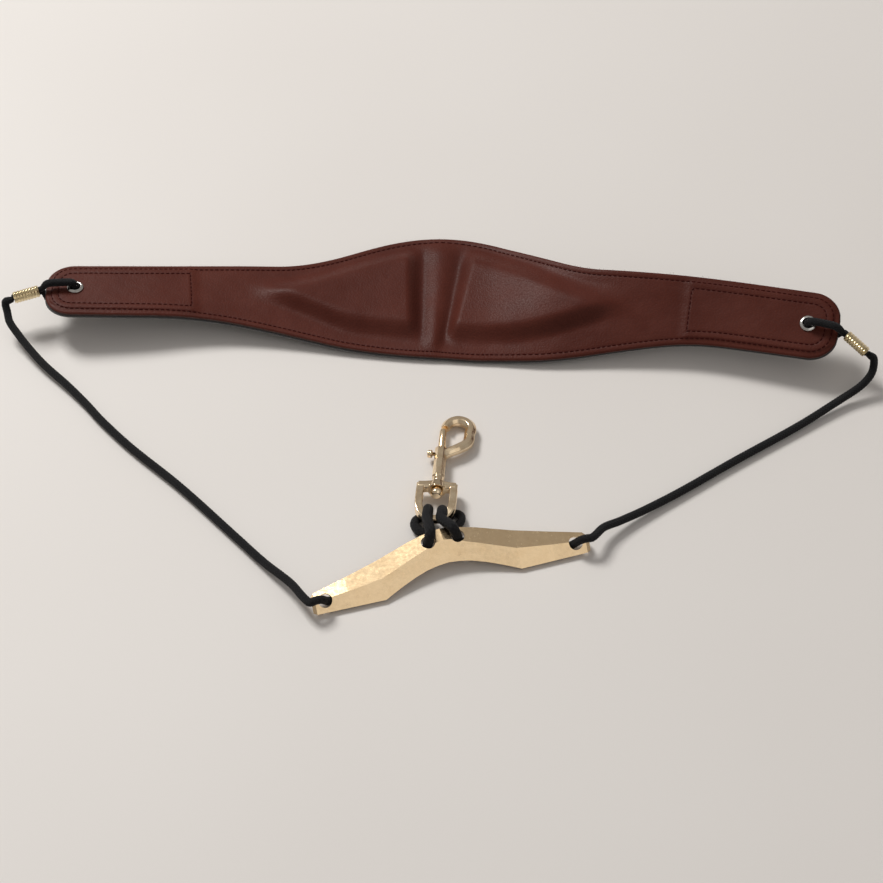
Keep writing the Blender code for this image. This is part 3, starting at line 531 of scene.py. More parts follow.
def pad_frame(s):
    step = 2 * MM
    along = (pad_centre(s + step) - pad_centre(s - step)).normalized()
    across = Vector((0, 0, 1)).cross(along).normalized()
    up = along.cross(across)
    roll = pad_pose(s)[2]
    rolled_across = across * math.cos(roll) + up * math.sin(roll)
    rolled_up = up * math.cos(roll) - across * math.sin(roll)
    made = Matrix((along, rolled_across, rolled_up)).transposed().to_4x4()
    made.translation = pad_centre(s)
    return made


def half_width(s, side):
    """From the centre line to the pad's outline, with no rounding at the tab's corners."""
    height, reach = SWELLS[side]
    return TAB_HALF_WIDTH + (height * math.cos(math.pi * s / (2 * reach))**2 if abs(s) < reach else 0.0)


def slant(s, side):
    """Length of the outline for each unit along the centre line."""
    height, reach = SWELLS[side]
    slope = height * math.pi / (2 * reach) * math.sin(math.pi * s / reach) if abs(s) < reach else 0.0
    return math.hypot(1, slope)


def end_rounding(s):
    depth = PAD_HALF - abs(s)
    if depth >= TAB_CORNER:
        return 0.0
    return TAB_CORNER - math.sqrt(max(0.0, TAB_CORNER**2 - (TAB_CORNER - depth)**2))


def upper_edge(s):
    return half_width(s, 1) - end_rounding(s)


def lower_edge(s):
    return end_rounding(s) - half_width(s, -1)


def edge_distance(s, v):
    """Distance from the pad's outline, inwards."""
    depth = PAD_HALF - abs(s)
    if depth < TAB_CORNER and abs(v) > TAB_HALF_WIDTH - TAB_CORNER:
        return TAB_CORNER - math.hypot(TAB_CORNER - depth, abs(v) - TAB_HALF_WIDTH + TAB_CORNER)
    return min((half_width(s, 1) - v) / slant(s, 1), (half_width(s, -1) + v) / slant(s, -1), depth)


def foam_limits(s):
    """Lower and upper edge of the foam pads, which narrow towards their outer tips."""
    low, high = lower_edge(s) + FOAM_MARGINS[0], upper_edge(s) - FOAM_MARGINS[1]
    taper = smoothstep(abs(s), 42 * MM, FOAM_OUTER) * (high - low)
    return low + 0.30 * taper, high - 0.12 * taper


def dome(s, v):
    low, high = foam_limits(s)
    a = (abs(s) - (FOAM_INNER + FOAM_OUTER) / 2) / ((FOAM_OUTER - FOAM_INNER) / 2)
    b = (v - (low + high) / 2) / ((high - low) / 2)
    if abs(a) >= 1 or abs(b) >= 1:
        return 0.0
    return ((1 - abs(a)**3) * (1 - abs(b)**3))**1.2


def leather_dome(s, v):
    """The dome with the flatter top and soft shoulders that the leather takes over the foam."""
    low, high = foam_limits(s)
    return (smoothstep(abs(s), FOAM_INNER - 1 * MM, FOAM_INNER + 8 * MM)
            * (1 - smoothstep(abs(s), FOAM_OUTER - 24 * MM, FOAM_OUTER + 2 * MM))
            * smoothstep(v, low - 1 * MM, low + 9 * MM) * (1 - smoothstep(v, high - 13 * MM, high + 2 * MM)))


def ridge(s, v):
    fade = smoothstep(upper_edge(s) - v, 0, 12 * MM) * smoothstep(v - lower_edge(s), 0, 12 * MM)
    return RIDGE_HEIGHT * math.exp(-(s / RIDGE_HALF_WIDTH)**2) * fade


def tab_rise(s, v):
    edge = min(upper_edge(s) - v, v - lower_edge(s), PAD_HALF - abs(s))
    return smoothstep(abs(s), 120 * MM, 126 * MM) * smoothstep(edge, 1.5 * MM, 4.0 * MM)


def groove(distance, width=0.55 * MM):
    return math.exp(-(distance / width)**2)


def stitch_grooves(s, v):
    edge = edge_distance(s, v)
    depth = groove(edge - STITCH_INSET)
    if abs(s) > BOX_INNER - 2 * MM and edge > STITCH_INSET:
        if abs(s) > BOX_INNER:
            depth = max(depth, groove(edge - BOX_INSET))
        if edge > BOX_INSET - 1 * MM:
            depth = max(depth, groove(abs(s) - BOX_INNER))
    return depth, edge


def leather_underside(s, v, edge):
    """Height of the leather's inner face, and how deep in a fold the place is."""
    height = (LINING_THICKNESS + GAP * 0.6 + (STIFFENER_THICKNESS + GAP) * tab_rise(s, v)
              + LEATHER_RISE * leather_dome(s, v) + ridge(s, v))
    fold = groove(abs(s) - FOLD_PLACE, FOLD_WIDTH) * smoothstep(edge, 4 * MM, 14 * MM)
    return height - FOLD_DEPTH * fold, fold


def leather_top(s, v):
    """Height of the leather's face, and the painted shade that darkens its folds and stitch lines."""
    sunk, edge = stitch_grooves(s, v)
    height, fold = leather_underside(s, v, edge)
    place = Vector((s, v, 0)) / MM
    height += LEATHER_THICKNESS
    height += 0.22 * MM * noise.noise(place / 17) * smoothstep(edge, 3 * MM, 10 * MM)
    height += 0.08 * MM * noise.noise(place / 4.5) * smoothstep(edge, 3 * MM, 7 * MM)
    height += 0.07 * MM * math.cos(math.pi / 2 * min(1.0, abs(edge - 1.5 * MM) / (1.5 * MM)))
    height -= STITCH_DEPTH * sunk + RIM_ROUNDING * (1 - smoothstep(edge, 0, 0.7 * MM))
    return height, min(1.0, 0.35 * sunk + 0.45 * fold)


def leather_low(s, v):
    return leather_underside(s, v, edge_distance(s, v))[0]


def lining_face(s, v):
    edge = edge_distance(s, v)
    height = -FOAM_SAG * dome(s, v) + 0.25 * MM * groove(edge - STITCH_INSET)
    place = Vector((s, v, 40)) / MM
    return height + 0.12 * MM * noise.noise(place / 12) * smoothstep(edge, 3 * MM, 9 * MM)


def spaced(start, end, step):
    count = max(1, math.ceil(abs(end - start) / step - 0.001))
    return [start + (end - start) * i / count for i in range(count)]


def pad_stations():
    right = (spaced(196.5, 188, 0.45) + spaced(188, 182, 0.75) + spaced(182, 126.6, 1.8)
             + spaced(126.6, 123.4, 0.4) + spaced(123.4, 20, 1.6) + spaced(20, 0, 1.0))
    return [-s * MM for s in right] + [0.0] + [s * MM for s in right[::-1]]


EDGE_ROWS = [d * MM for d in (0, 0.2, 0.45, 0.8, 1.3, 1.8, 2.2, 2.5, 2.75, 3.0, 3.25, 3.5, 3.8, 4.4, 5.1, 5.6,
                              5.9, 6.15, 6.4, 6.65, 6.9, 7.2, 7.7)]
MIDDLE_ROWS = 26


def rows_at(s):
    low, high = lower_edge(s), upper_edge(s)
    width = high - low
    squeeze = min(1.0, width / (2.6 * EDGE_ROWS[-1]))
    edge = [d * squeeze for d in EDGE_ROWS]
    start, end = low + edge[-1], high - edge[-1]
    middle = [start + (end - start) * i / MIDDLE_ROWS for i in range(1, MIDDLE_ROWS)]
    return [low + d for d in edge] + middle + [high - d for d in edge[::-1]]


def pad_sheet(name, top, bottom, materials, grow=0.0):
    """A closed sheet between two height functions; its sides take the second material."""
    stations = pad_stations()
    bm = bmesh.new()
    # Per-vertex painted shade that darkens the leather's folds and stitch grooves.
    painted_groove_shade = bm.verts.layers.float.new("painted_groove_shade")
    skins = ([], [])
    for s in stations:
        matrix = pad_frame(s)
        rows = rows_at(s)
        middle = (rows[0] + rows[-1]) / 2
        half = (rows[-1] - rows[0]) / 2
        tops, bottoms = [], []
        for v in rows:
            height, dark = top(s, v)
            out_s = grow * math.copysign(1, s) * smoothstep(abs(s), PAD_HALF - TAB_CORNER, PAD_HALF)
            out_v = v + grow * (v - middle) / half
            vert = bm.verts.new(matrix @ Vector((out_s, out_v, height)))
            vert[painted_groove_shade] = dark
            tops.append(vert)
            bottoms.append(bm.verts.new(matrix @ Vector((out_s, out_v, bottom(s, v)))))
        skins[0].append(tops)
        skins[1].append(bottoms)
    columns, lines = len(stations), len(skins[0][0])
    for skin, flip in zip(skins, (False, True)):
        for i in range(columns - 1):
            for j in range(lines - 1):
                corners = (skin[i][j], skin[i + 1][j], skin[i + 1][j + 1], skin[i][j + 1])
                bm.faces.new(corners[::-1] if flip else corners)
    ring = ([(i, 0) for i in range(columns)] + [(columns - 1, j) for j in range(1, lines)]
            + [(i, lines - 1) for i in range(columns - 2, -1, -1)] + [(0, j) for j in range(lines - 2, 0, -1)])
    for (i, j), (k, m) in zip(ring, ring[1:] + ring[:1]):
        face = bm.faces.new((skins[0][k][m], skins[0][i][j], skins[1][i][j], skins[1][k][m]))
        face.material_index = len(materials) - 1
    return from_bmesh(bm, name, materials, recalc=False)


def punched(item, frames, radius):
    for matrix in frames:
        cutter = rod((0, 0, -7), (0, 0, 7), radius / MM)
        cutter.data.transform(matrix)
        drilled(item, cutter)
    return item


EYELET_FROM_END, EYELET_BORE, EYELET_WALL, EYELET_FLANGE = 14.5 * MM, 2.3 * MM, 0.35 * MM, 4.0 * MM
TAB_TOP = LINING_THICKNESS + 2 * GAP + STIFFENER_THICKNESS + LEATHER_THICKNESS
LIP_TOP = TAB_TOP + GAP + 0.9 * MM
WASHER_LOW = -GAP - 0.5 * MM
EYELET_LOW = WASHER_LOW - GAP - 0.5 * MM


def eyelet_frame(side):
    return pad_frame(side * (PAD_HALF - EYELET_FROM_END))


def pad():
    frames = [eyelet_frame(-1), eyelet_frame(1)]
    hole = EYELET_BORE + EYELET_WALL + 0.1 * MM
    cover = punched(pad_sheet("leather_pad", leather_top, leather_low, [LEATHER, CUT_EDGE]), frames, hole)
    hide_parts("leather_cover")
    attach(cover, "strap")

    def lining_top(s, v):
        return LINING_THICKNESS - FOAM_SAG * dome(s, v), 0.0

    back = punched(pad_sheet("suede_lining", lining_top, lining_face, [LINING], grow=0.35 * MM), frames, hole)
    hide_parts("backing_lining")
    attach(back, "strap")


# Stitching

STITCH_PITCH, STITCH_LENGTH, THREAD_RADIUS = 2.55 * MM, 1.95 * MM, 0.27 * MM


def outline_at(inset):
    """Points (s, v) round the pad at an even distance inside its outline: bottom, right, top and left."""
    corner = TAB_CORNER - inset
    turn_s, turn_v = PAD_HALF - TAB_CORNER, TAB_HALF_WIDTH - TAB_CORNER
    along = spaced(-turn_s, turn_s, 1 * MM) + [turn_s]
    lower = [(s, inset * slant(s, -1) - half_width(s, -1)) for s in along]
    upper = [(s, half_width(s, 1) - inset * slant(s, 1)) for s in along[::-1]]

    def arc(centre_s, centre_v, start):
        return arc_points((centre_s, centre_v), corner, start, start + 90, 12)[1:]

    right = arc(turn_s, -turn_v, -90) + arc(turn_s, turn_v, 0)
    left = arc(-turn_s, turn_v, 90) + arc(-turn_s, -turn_v, 180)
    return lower, right, upper, left


def stitch(bm, start, end, height_at, side, chance):
    """One stitch: a short thread that dives into the leather at both ends."""
    points = []
    swing = 0.10 * MM * (chance.random() - 0.5)
    for step in range(7):
        t = step / 6
        s, v = start.lerp(end, t)
        v += swing * math.sin(math.pi * t)
        rise = 0.26 * MM * math.sin(math.pi * t)**0.5 - 0.16 * MM if 0 < t < 1 else -0.42 * MM
        points.append(pad_frame(s) @ Vector((0, v, height_at(s, v) + side * rise)))
    radius = THREAD_RADIUS * (0.92 + 0.16 * chance.random())
    sweep(bm, points, arc_points((0, 0), radius, 0, 315, 7), [0.75, 0.95, 1, 1, 1, 0.95, 0.75])


def stitching():
    chance = random.Random(7)
    lower, right, upper, left = outline_at(STITCH_INSET)
    lines = [lower + right + upper + left + lower[:1]]
    lower, right, upper, left = outline_at(BOX_INSET)
    for sign, first, corner, last in ((1, lower, right, upper), (-1, upper, left, lower)):
        first, last = ([point for point in row if sign * point[0] > BOX_INNER] for row in (first, last))
        start = (sign * BOX_INNER, first[0][1])
        lines.append([start] + first + corner + last + [(sign * BOX_INNER, last[-1][1]), start])
    share = STITCH_LENGTH / STITCH_PITCH
    for name, height_at, side in (("stitching_face", lambda s, v: leather_top(s, v)[0], 1),
                                  ("stitching_back", lining_face, -1)):
        bm = bmesh.new()
        for line in lines:
            marks = evenly(line, lambda length: int(length / STITCH_PITCH))
            for a, b in zip(marks, marks[1:]):
                stitch(bm, a, a.lerp(b, share), height_at, side, chance)
        item = from_bmesh(bm, name, [THREAD])
        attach(item, "strap")


FIBRE_PITCH, FIBRE_RADIUS = 1.15 * MM, 0.045 * MM


def fibres():
    """Loose fibres that stand out of the leather's cut edge."""
    chance = random.Random(11)
    bm = bmesh.new()
    lower, right, upper, left = outline_at(0.0)
    line = evenly(lower + right + upper + left + lower[:1], lambda length: int(length / FIBRE_PITCH))
    for index, (s, v) in enumerate(line):
        weight = 0.75 if s > 60 * MM else 0.35
        if chance.random() > weight:
            continue
        ahead = line[(index + 1) % len(line)]
        out_s, out_v = ahead[1] - v, s - ahead[0]
        size = math.hypot(out_s, out_v) or 1.0
        out = Vector((out_s / size, out_v / size, 0))
        matrix = pad_frame(s)
        level = LINING_THICKNESS + LEATHER_THICKNESS * (0.2 + 0.7 * chance.random())
        reach = (0.35 + 0.75 * chance.random()**2) * MM
        lean = Vector((chance.uniform(-1, 1), chance.uniform(-0.3, 0.3), chance.uniform(-0.6, 0.8))) * 0.7
        root = Vector((0, v, level)) - out * 0.3 * MM
        points = [matrix @ (root + (out + lean * t) * reach * t * 1.3) for t in (0, 0.35, 0.7, 1.0)]
        section = [(FIBRE_RADIUS * math.cos(2.1 * k), FIBRE_RADIUS * math.sin(2.1 * k)) for k in range(3)]
        sweep(bm, points, section, [1.2, 1, 0.8, 0.3])
    item = from_bmesh(bm, "cut_edge_fibres", [CUT_EDGE])
    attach(item, "strap")


# Turned metal pieces

def turned(name, profile, look, matrix, steps=72):
    """A profile of (radius, height) points turned about the matrix's Z axis."""
    bm = bmesh.new()
    rings = []
    for k in range(steps):
        turn = 2 * math.pi * k / steps
        rings.append([bm.verts.new(matrix @ Vector((r * math.cos(turn), r * math.sin(turn), h)))
                      for r, h in profile])
    skin(bm, rings, loop=True)
    bmesh.ops.remove_doubles(bm, verts=bm.verts[:], dist=0.002 * MM)
    return from_bmesh(bm, name, [look])


def arc_points(centre, radius, start, end, steps):
    """Points on an arc, its angles in degrees."""
    turns = [math.radians(start + (end - start) * i / steps) for i in range(steps + 1)]
    return [(centre[0] + radius * math.cos(turn), centre[1] + radius * math.sin(turn)) for turn in turns]


def eyelet(side_name, side):
    matrix = eyelet_frame(side)
    bore, outer = EYELET_BORE, EYELET_BORE + EYELET_WALL
    low = TAB_TOP - 0.05 * MM
    profile = ([(bore, EYELET_LOW + 0.4 * MM)] + arc_points((bore + 0.42 * MM, EYELET_LOW + 0.42 * MM),
                                                           0.42 * MM, 180, 300, 5)
               + [(outer + 0.75 * MM, EYELET_LOW + 0.2 * MM), (outer + 0.8 * MM, WASHER_LOW - 0.05 * MM),
                  (outer, WASHER_LOW - 0.05 * MM), (outer, low), (EYELET_FLANGE - 0.05 * MM, low)]
               + arc_points((EYELET_FLANGE - 0.35 * MM, low + 0.30 * MM), 0.35 * MM, -40, 80, 5)
               + arc_points((bore + 0.75 * MM, LIP_TOP - 0.70 * MM), 0.70 * MM, 85, 178, 7))
    grommet = turned(side_name + "_grommet", profile, NICKEL, matrix)
    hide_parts(side_name + "_eyelet")
    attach(grommet, "strap")
    inner = outer + 0.12 * MM
    washer_profile = [(inner, WASHER_LOW), (EYELET_FLANGE - 0.35 * MM, WASHER_LOW + 0.02 * MM),
                      (EYELET_FLANGE, WASHER_LOW + 0.22 * MM), (EYELET_FLANGE, 0.0), (inner, 0.0)]
    washer = turned(side_name + "_grommet_washer", washer_profile, NICKEL, matrix)
    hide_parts(side_name + "_eyelet_washer")
    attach(washer, "strap")


FERRULE_LENGTH, FERRULE_BORE, FERRULE_WALL = 12.5 * MM, 3.9 * MM, 0.7 * MM
FERRULE_RIDGE, FERRULE_FLATNESS, FERRULE_RIDGES = 0.34 * MM, 0.533, 8
STRAND_OFFSET, TAIL = 1.65 * MM, 0.9 * MM


def end_layout(side):
    matrix = eyelet_frame(side)
    outward = (matrix.col[0].to_3d() * side).normalized()
    across_tab = matrix.col[1].to_3d()
    up = matrix.col[2].to_3d()
    reach = EYELET_FROM_END + (3.2 * MM if side < 0 else 4.2 * MM)
    tip = matrix.translation + outward * reach + up * TAB_TOP / 2
    lean = 0.30 if side < 0 else 0.62
    inner = tip - across_tab * (0.8 * MM if side < 0 else 2.4 * MM)
    run = (outward - across_tab * lean - up * (0.12 if side < 0 else 0.25)).normalized()
    stack = (up * math.cos(math.radians(30)) - across_tab * math.sin(math.radians(30)))
    stack = (stack - run * stack.dot(run)).normalized()
    return inner, inner + run * FERRULE_LENGTH, run, stack


def ferrule(side_name, side):
    inner, _, run, stack = end_layout(side)
    matrix = Matrix((stack.cross(run), stack, run)).transposed().to_4x4()
    matrix.translation = inner
    body = FERRULE_BORE + FERRULE_WALL
    pitch = FERRULE_LENGTH / (FERRULE_RIDGES + 0.5)
    profile = [(FERRULE_BORE, 0.15 * MM), (FERRULE_BORE + 0.15 * MM, 0), (body - 0.2 * MM, 0), (body, 0.2 * MM)]
    for index in range(FERRULE_RIDGES):
        start = pitch * (index + 0.33)
        for step in range(7):
            t = step / 6
            profile.append((body - 0.10 * MM + (FERRULE_RIDGE + 0.10 * MM) * math.sin(math.pi * t)**0.8,
                            start + 0.82 * pitch * t))
    profile += [(body, FERRULE_LENGTH - 0.2 * MM), (body - 0.2 * MM, FERRULE_LENGTH),
                (FERRULE_BORE + 0.15 * MM, FERRULE_LENGTH), (FERRULE_BORE, FERRULE_LENGTH - 0.15 * MM)]
    squeeze = Matrix.Diagonal((FERRULE_FLATNESS, 1.0, 1.0, 1.0))
    item = turned(side_name + "_crimped_ferrule", profile, BRASS, matrix @ squeeze)
    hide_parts(side_name + "_ferrule")
    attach(item, "strap")


def eyelet_loop(side_name, side):
    matrix = eyelet_frame(side)
    inner, outer, run, stack = end_layout(side)
    bend = 2.6 * MM
    flare = 0.65 * MM if side < 0 else 0.25 * MM
    high, low = LIP_TOP - 0.3 * MM, EYELET_LOW + 0.3 * MM

    def strand(end, ahead, offset):
        return end + run * ahead + stack * offset

    def local(out, up, sideways=0.0):
        return matrix @ Vector((out * side, sideways, up))

    def quarter(centre_up, direction):
        return [local(bend - bend * math.cos(turn), centre_up + direction * bend * math.sin(turn))
                for turn in (math.radians(angle) for angle in (0, 30, 60, 90))]

    top, bottom = (
        [strand(outer, tail, sign * STRAND_OFFSET), strand(inner, 6 * MM, sign * STRAND_OFFSET),
         strand(inner, 0.5 * MM, sign * STRAND_OFFSET),
         strand(inner, -1.6 * MM, sign * (STRAND_OFFSET + flare))]
        for sign, tail in ((1, TAIL), (-1, -GAP / 2)))
    over = [local(13.2 * MM, high + bend - 0.3 * MM, -0.9 * MM), local(8 * MM, high + bend, -0.3 * MM)]
    under = [local(8 * MM, low - bend, -0.3 * MM), local(13.2 * MM, low - bend + 0.2 * MM, -0.9 * MM)]
    route = (top + over + quarter(high, 1)[::-1] + [local(0, (high + low) / 2)]
             + quarter(low, -1) + under + bottom[::-1])

    def ratio_at(point):
        ahead = (point - inner).dot(run)
        return 1 - (1 - CRIMPED_RATIO) * smoothstep(ahead, -5.0 * MM, -1.8 * MM)

    item, _ = braided(side_name + "_loop", route, ratio_at)
    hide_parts(side_name + "_eyelet_loop")
    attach(item, "strap")


# Spreader bar

# Stations (x, lower edge, ridge, upper edge) of the bar's right half, and the ridge's height, in millimetres
BAR_HALF_OUTLINE = (
    (0, 4.8, 14.9, 21.0), (5, 4.3, 14.0, 20.5), (10, 3.3, 11.7, 19.4), (16, 1.3, 9.5, 17.9),
    (22, -1.2, 7.1, 15.9), (27, -3.5, 5.2, 14.3), (31.2, -5.6, 3.6, 12.9), (47, -5.4, 1.5, 8.6),
    (62.3, -5.2, -0.1, 4.6), (63.9, -4.3, -0.1, 2.7),
)
BAR_RIDGE = 2.4
END_HOLE, CENTRE_HOLE = (57.8 * MM, 0.0 * MM), (6.8 * MM, 15.5 * MM)
BAR_THICKNESS, HOLE_RADIUS = 1.2 * MM, 3.2 * MM
BAR_CENTRE = Vector((4.4, -78.8, 3.52)) * MM
BAR_YAW, BAR_TILT = math.radians(15.85), math.radians(20)


def bar_matrix():
    turn = Matrix.Rotation(BAR_YAW, 4, "Z") @ Matrix.Rotation(BAR_TILT, 4, "X")
    return Matrix.Translation(BAR_CENTRE + SHIFT) @ turn


def spreader_bar():
    bm = bmesh.new()
    rows = []
    for x, *edges in [(-x, *edges) for x, *edges in BAR_HALF_OUTLINE[:0:-1]] + list(BAR_HALF_OUTLINE):
        rows.append([bm.verts.new(Vector((x, y, height)) * MM)
                     for y, height in zip(edges, (0.0, BAR_RIDGE, 0.0))])
    for first, second in zip(rows, rows[1:]):
        for k in (0, 1):
            bm.faces.new((first[k], second[k], second[k + 1], first[k + 1]))
    item = from_bmesh(bm, "folded_bar", [GOLD], smooth=False, recalc=False)
    modify(item, "SOLIDIFY", thickness=BAR_THICKNESS, offset=-1.0, use_even_offset=True)
    for sign in (-1, 1):
        for x, y in (END_HOLE, CENTRE_HOLE):
            bm = bmesh.new()
            bmesh.ops.create_cone(bm, cap_ends=True, segments=64, radius1=HOLE_RADIUS, radius2=HOLE_RADIUS,
                                  depth=16 * MM, matrix=Matrix.Translation((sign * x, y, 0)))
            drilled(item, from_bmesh(bm, "hole", []))
    modify(item, "BEVEL", width=0.38 * MM, segments=3, limit_method="ANGLE", angle_limit=math.radians(9),
           harden_normals=True)
    applied(item)
    item.data.transform(bar_matrix())
    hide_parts("spreader_bar")
    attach(item, "strap")


# Cords between the ferrules, the bar and the eye

SNAP_YAW, SNAP_PITCH = math.radians(-4.5), math.radians(-4.5)


def snap_matrix():
    turn = Matrix.Rotation(SNAP_YAW, 4, "Z") @ Matrix.Rotation(SNAP_PITCH, 4, "X")
    return Matrix.Translation(SNAP_PLACE + SHIFT) @ turn


def on_bar(points, sign=1):
    return [bar_matrix() @ (Vector((sign * x, y, z)) * MM) for x, y, z in points]


def by_snap(points, sign=1):
    return [snap_matrix() @ (Vector((sign * x, y, z)) * MM) for x, y, z in points]


END_HOLE_ROUTE = ((65.1, -0.2, 5.1), (61.9, -0.1, 5.25), (59.3, 0.0, 4.0), (57.8, 0.0, 1.5), (56.2, 0.1, -1.0),
                  (53.3, 0.5, -1.98))
UNDER_BAR = ((42, 2.0, -1.8), (31, 4.2, -1.9), (20, 8.4, -2.0), (12.4, 11.5, -2.3))
CENTRE_HOLE_ROUTE = ((7.6, 14.1, -1.5), (6.8, 15.5, 0.8), (6.0, 16.9, 3.2), (5.0, 19.4, 4.5))
OVER_EYE = ((0, -3.6, 4.7), (0, 0, 4.15), (0, 3.0, 2.9), (0.1, 4.15, -0.2), (0.3, 4.4, -2.6), (0.7, 4.6, -4.3))


def hitch_half(sign, strand_x, lobe):
    """Under the bar, up its centre hole, over the eye's bar, down through the eye and out behind it."""
    over = [(strand_x + x, y, z) for x, y, z in OVER_EYE]
    return on_bar(END_HOLE_ROUTE[3:] + UNDER_BAR + CENTRE_HOLE_ROUTE, sign) + by_snap(over + list(lobe), sign)


LEFT_LOBE = ((6.0, 4.3, -4.5), (8.2, 2.6, -4.5), (8.6, -0.6, -4.5), (5.6, -4.4, -4.4))
RIGHT_LOBE = ((6.9, 6.4, -4.5), (9.6, 8.0, -4.45), (12.0, 6.6, -4.45), (12.0, 3.0, -4.45), (9.6, -0.6, -4.45),
              (5.0, -4.6, -4.4))


def hitch():
    left, right = hitch_half(-1, 2.8, LEFT_LOBE), hitch_half(1, 3.6, RIGHT_LOBE)
    crossing, middle = by_snap([(0.2, -6.2, -4.4), (0.4, -5.0, 5.5)])

    def ratio_at(point):
        """The two strands in front of the eye bulge where they are pulled together."""
        return 1 + 0.26 * (1 - smoothstep((point - middle).length, 11 * MM, 17 * MM))

    item, _ = braided("hitched_cord", left + [crossing] + right[::-1], ratio_at)
    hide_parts("hitch_cord")
    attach(item, "strap")


LEFT_ROUTE = (
    (-212.6, 73.0, 11.6), (-211.3, 68.8, 9.2), (-207.3, 63.4, 7.0), (-201.2, 55.8, 5.0), (-192.4, 45.6, 3.6),
    (-179.8, 33.0, 2.8), (-169.4, 21.6, 2.1), (-161.0, 11.2, 2.1), (-145.8, -5.1, 2.1), (-120.3, -29.1, 2.1),
    (-91.0, -60.0, 2.2), (-78.9, -73.2, 3.0), (-66.6, -86.3, 5.9),
)
RIGHT_ROUTE = (
    (206.0, 35.1, 11.3), (204.0, 32.3, 8.8), (199.6, 28.8, 6.2), (190.6, 23.1, 4.0), (169.2, 8.0, 2.4),
    (136.5, -13.6, 2.1), (109.6, -32.1, 2.2), (92.0, -43.6, 3.0), (80.5, -50.9, 4.5), (73.0, -56.0, 6.5),
)


def free_cord(side_name, side, middle_route):
    _, outer, run, stack = end_layout(side)
    start = outer + run * GAP - stack * STRAND_OFFSET
    leaving = [start + run * 1.6 * MM, start + run * 4.2 * MM - stack * 1.0 * MM]
    middle = [Vector(point) * MM + SHIFT for point in middle_route]
    route = [start] + leaving + middle + on_bar(END_HOLE_ROUTE[:4], side)

    def ratio_at(point):
        return 0.76 + 0.24 * smoothstep((point - start).length, 0, 3.2 * MM)

    item, fine = braided(side_name + "_free_cord", route, ratio_at)
    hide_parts(side_name + "_cord")
    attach(item, "strap")


# Swivel eye and bolt snap, in the snap's own space: X across, Y along, Z up

CAST_VOXEL, CUT_CORNERS = 0.2 * MM, math.radians(22.5)


def cast(name, pieces, smoothing, holes):
    """Pieces melted into one casting with small fillets, then drilled and put in place."""
    bm = bmesh.new()
    for piece in pieces:
        bm.from_mesh(piece.data)
        bpy.data.objects.remove(piece, do_unlink=True)
    item = from_bmesh(bm, name, [SNAP_GOLD])
    modify(item, "REMESH", mode="VOXEL", voxel_size=CAST_VOXEL)
    modify(item, "SMOOTH", factor=0.5, iterations=smoothing)
    applied(item)
    for cutter in holes:
        drilled(item, cutter)
    for face in item.data.polygons:
        face.use_smooth = True
    item.data.transform(snap_matrix())
    return item


def chamfered(width, height, cut):
    """An eight-sided section in millimetres."""
    w, h, c = width / 2 * MM, height / 2 * MM, cut * MM
    return [(w, c - h), (w, h - c), (w - c, h), (c - w, h), (-w, h - c), (-w, c - h), (c - w, -h), (w - c, -h)]


def flat_sweep(points, section_at):
    """A section swept along points that lie in the XY plane, its second coordinate along Z."""
    bm = bmesh.new()
    rings = []
    last = len(points) - 1
    for index, point in enumerate(points):
        tangent = (points[min(index + 1, last)] - points[max(index - 1, 0)]).normalized()
        across = Vector((tangent.y, -tangent.x, 0))
        rings.append([bm.verts.new(point + across * a + Vector((0, 0, b)))
                      for a, b in section_at(index / last)])
    skin(bm, rings)
    return from_bmesh(bm, "sweep", [])


def eye():
    """A stirrup of rimmed band, round at the cord's end, with a bridge that the stem turns in."""
    arm = [(-7.7, 20.0), (-7.7, 15.0), (-7.7, 10.0), (-7.4, 6.4), (-6.2, 2.9), (-3.9, 0.6), (0, -0.35)]
    route = arm + [(-x, y) for x, y in arm[-2::-1]]
    points = smooth_route([Vector((x, y, 0)) * MM for x, y in route], CASTING_STEP)

    def section_at(t):
        """The right half of the section upwards, then the left half down again."""
        thin = smoothstep(1 - abs(2 * t - 1), 0.55, 0.85)
        w, h = (1.8 - 0.25 * thin) * MM, (2.3 - 0.62 * thin) * MM
        waist, rim, side = 0.42 * MM * (1 - thin), h - 0.35 * MM, w - 0.3 * MM
        right = [(side, -h), (w, -rim), (w - waist, -0.55 * h), (w - waist, 0.55 * h), (w, rim), (side, h)]
        return [(-side, -h)] + right + [(-side, h), (-w, rim), (0.3 * waist - w, 0), (-w, -rim)]

    band = flat_sweep(points, section_at)
    half_bridge = [(8.6, -0.1), (5.5, 0.0), (3.0, 0.35)]
    bridge_route = [Vector((x, 19.6 + lift, 0)) * MM for x, lift in
                    [(-x, lift) for x, lift in half_bridge] + [(0, 0.6)] + half_bridge[::-1]]
    bridge = flat_sweep(smooth_route(bridge_route, CASTING_STEP),
                        lambda t: chamfered(4.7 - 0.7 * abs(2 * t - 1), 4.8, 0.8))
    hub = rod((0, 17.4, 0), (0, 22.3, 0), 4.3, second=3.1)
    stem_hole = rod((0, 14.5, 0), (0, 24, 0), 1.9)
    item = cast("cast_eye", [band, bridge, hub], 4, [stem_hole])
    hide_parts("swivel_eye")
    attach(item, "eye")


BOW_CENTRE, BOW_RADIUS = (6.95, 56.7), 6.0


def hook_points():
    """Up from the barrel and round the bow."""
    points = [(0.6, 39.6), (4.0, 42.2), (8.4, 45.0), (12.0, 48.6)]
    for angle in (-20, 0, 22, 45, 68, 90, 112, 135, 158, 176):
        points += arc_points(BOW_CENTRE, BOW_RADIUS, angle, angle, 1)[:1]
    return smooth_route([Vector((x * MM, y * MM, 0)) for x, y in points], CASTING_STEP)


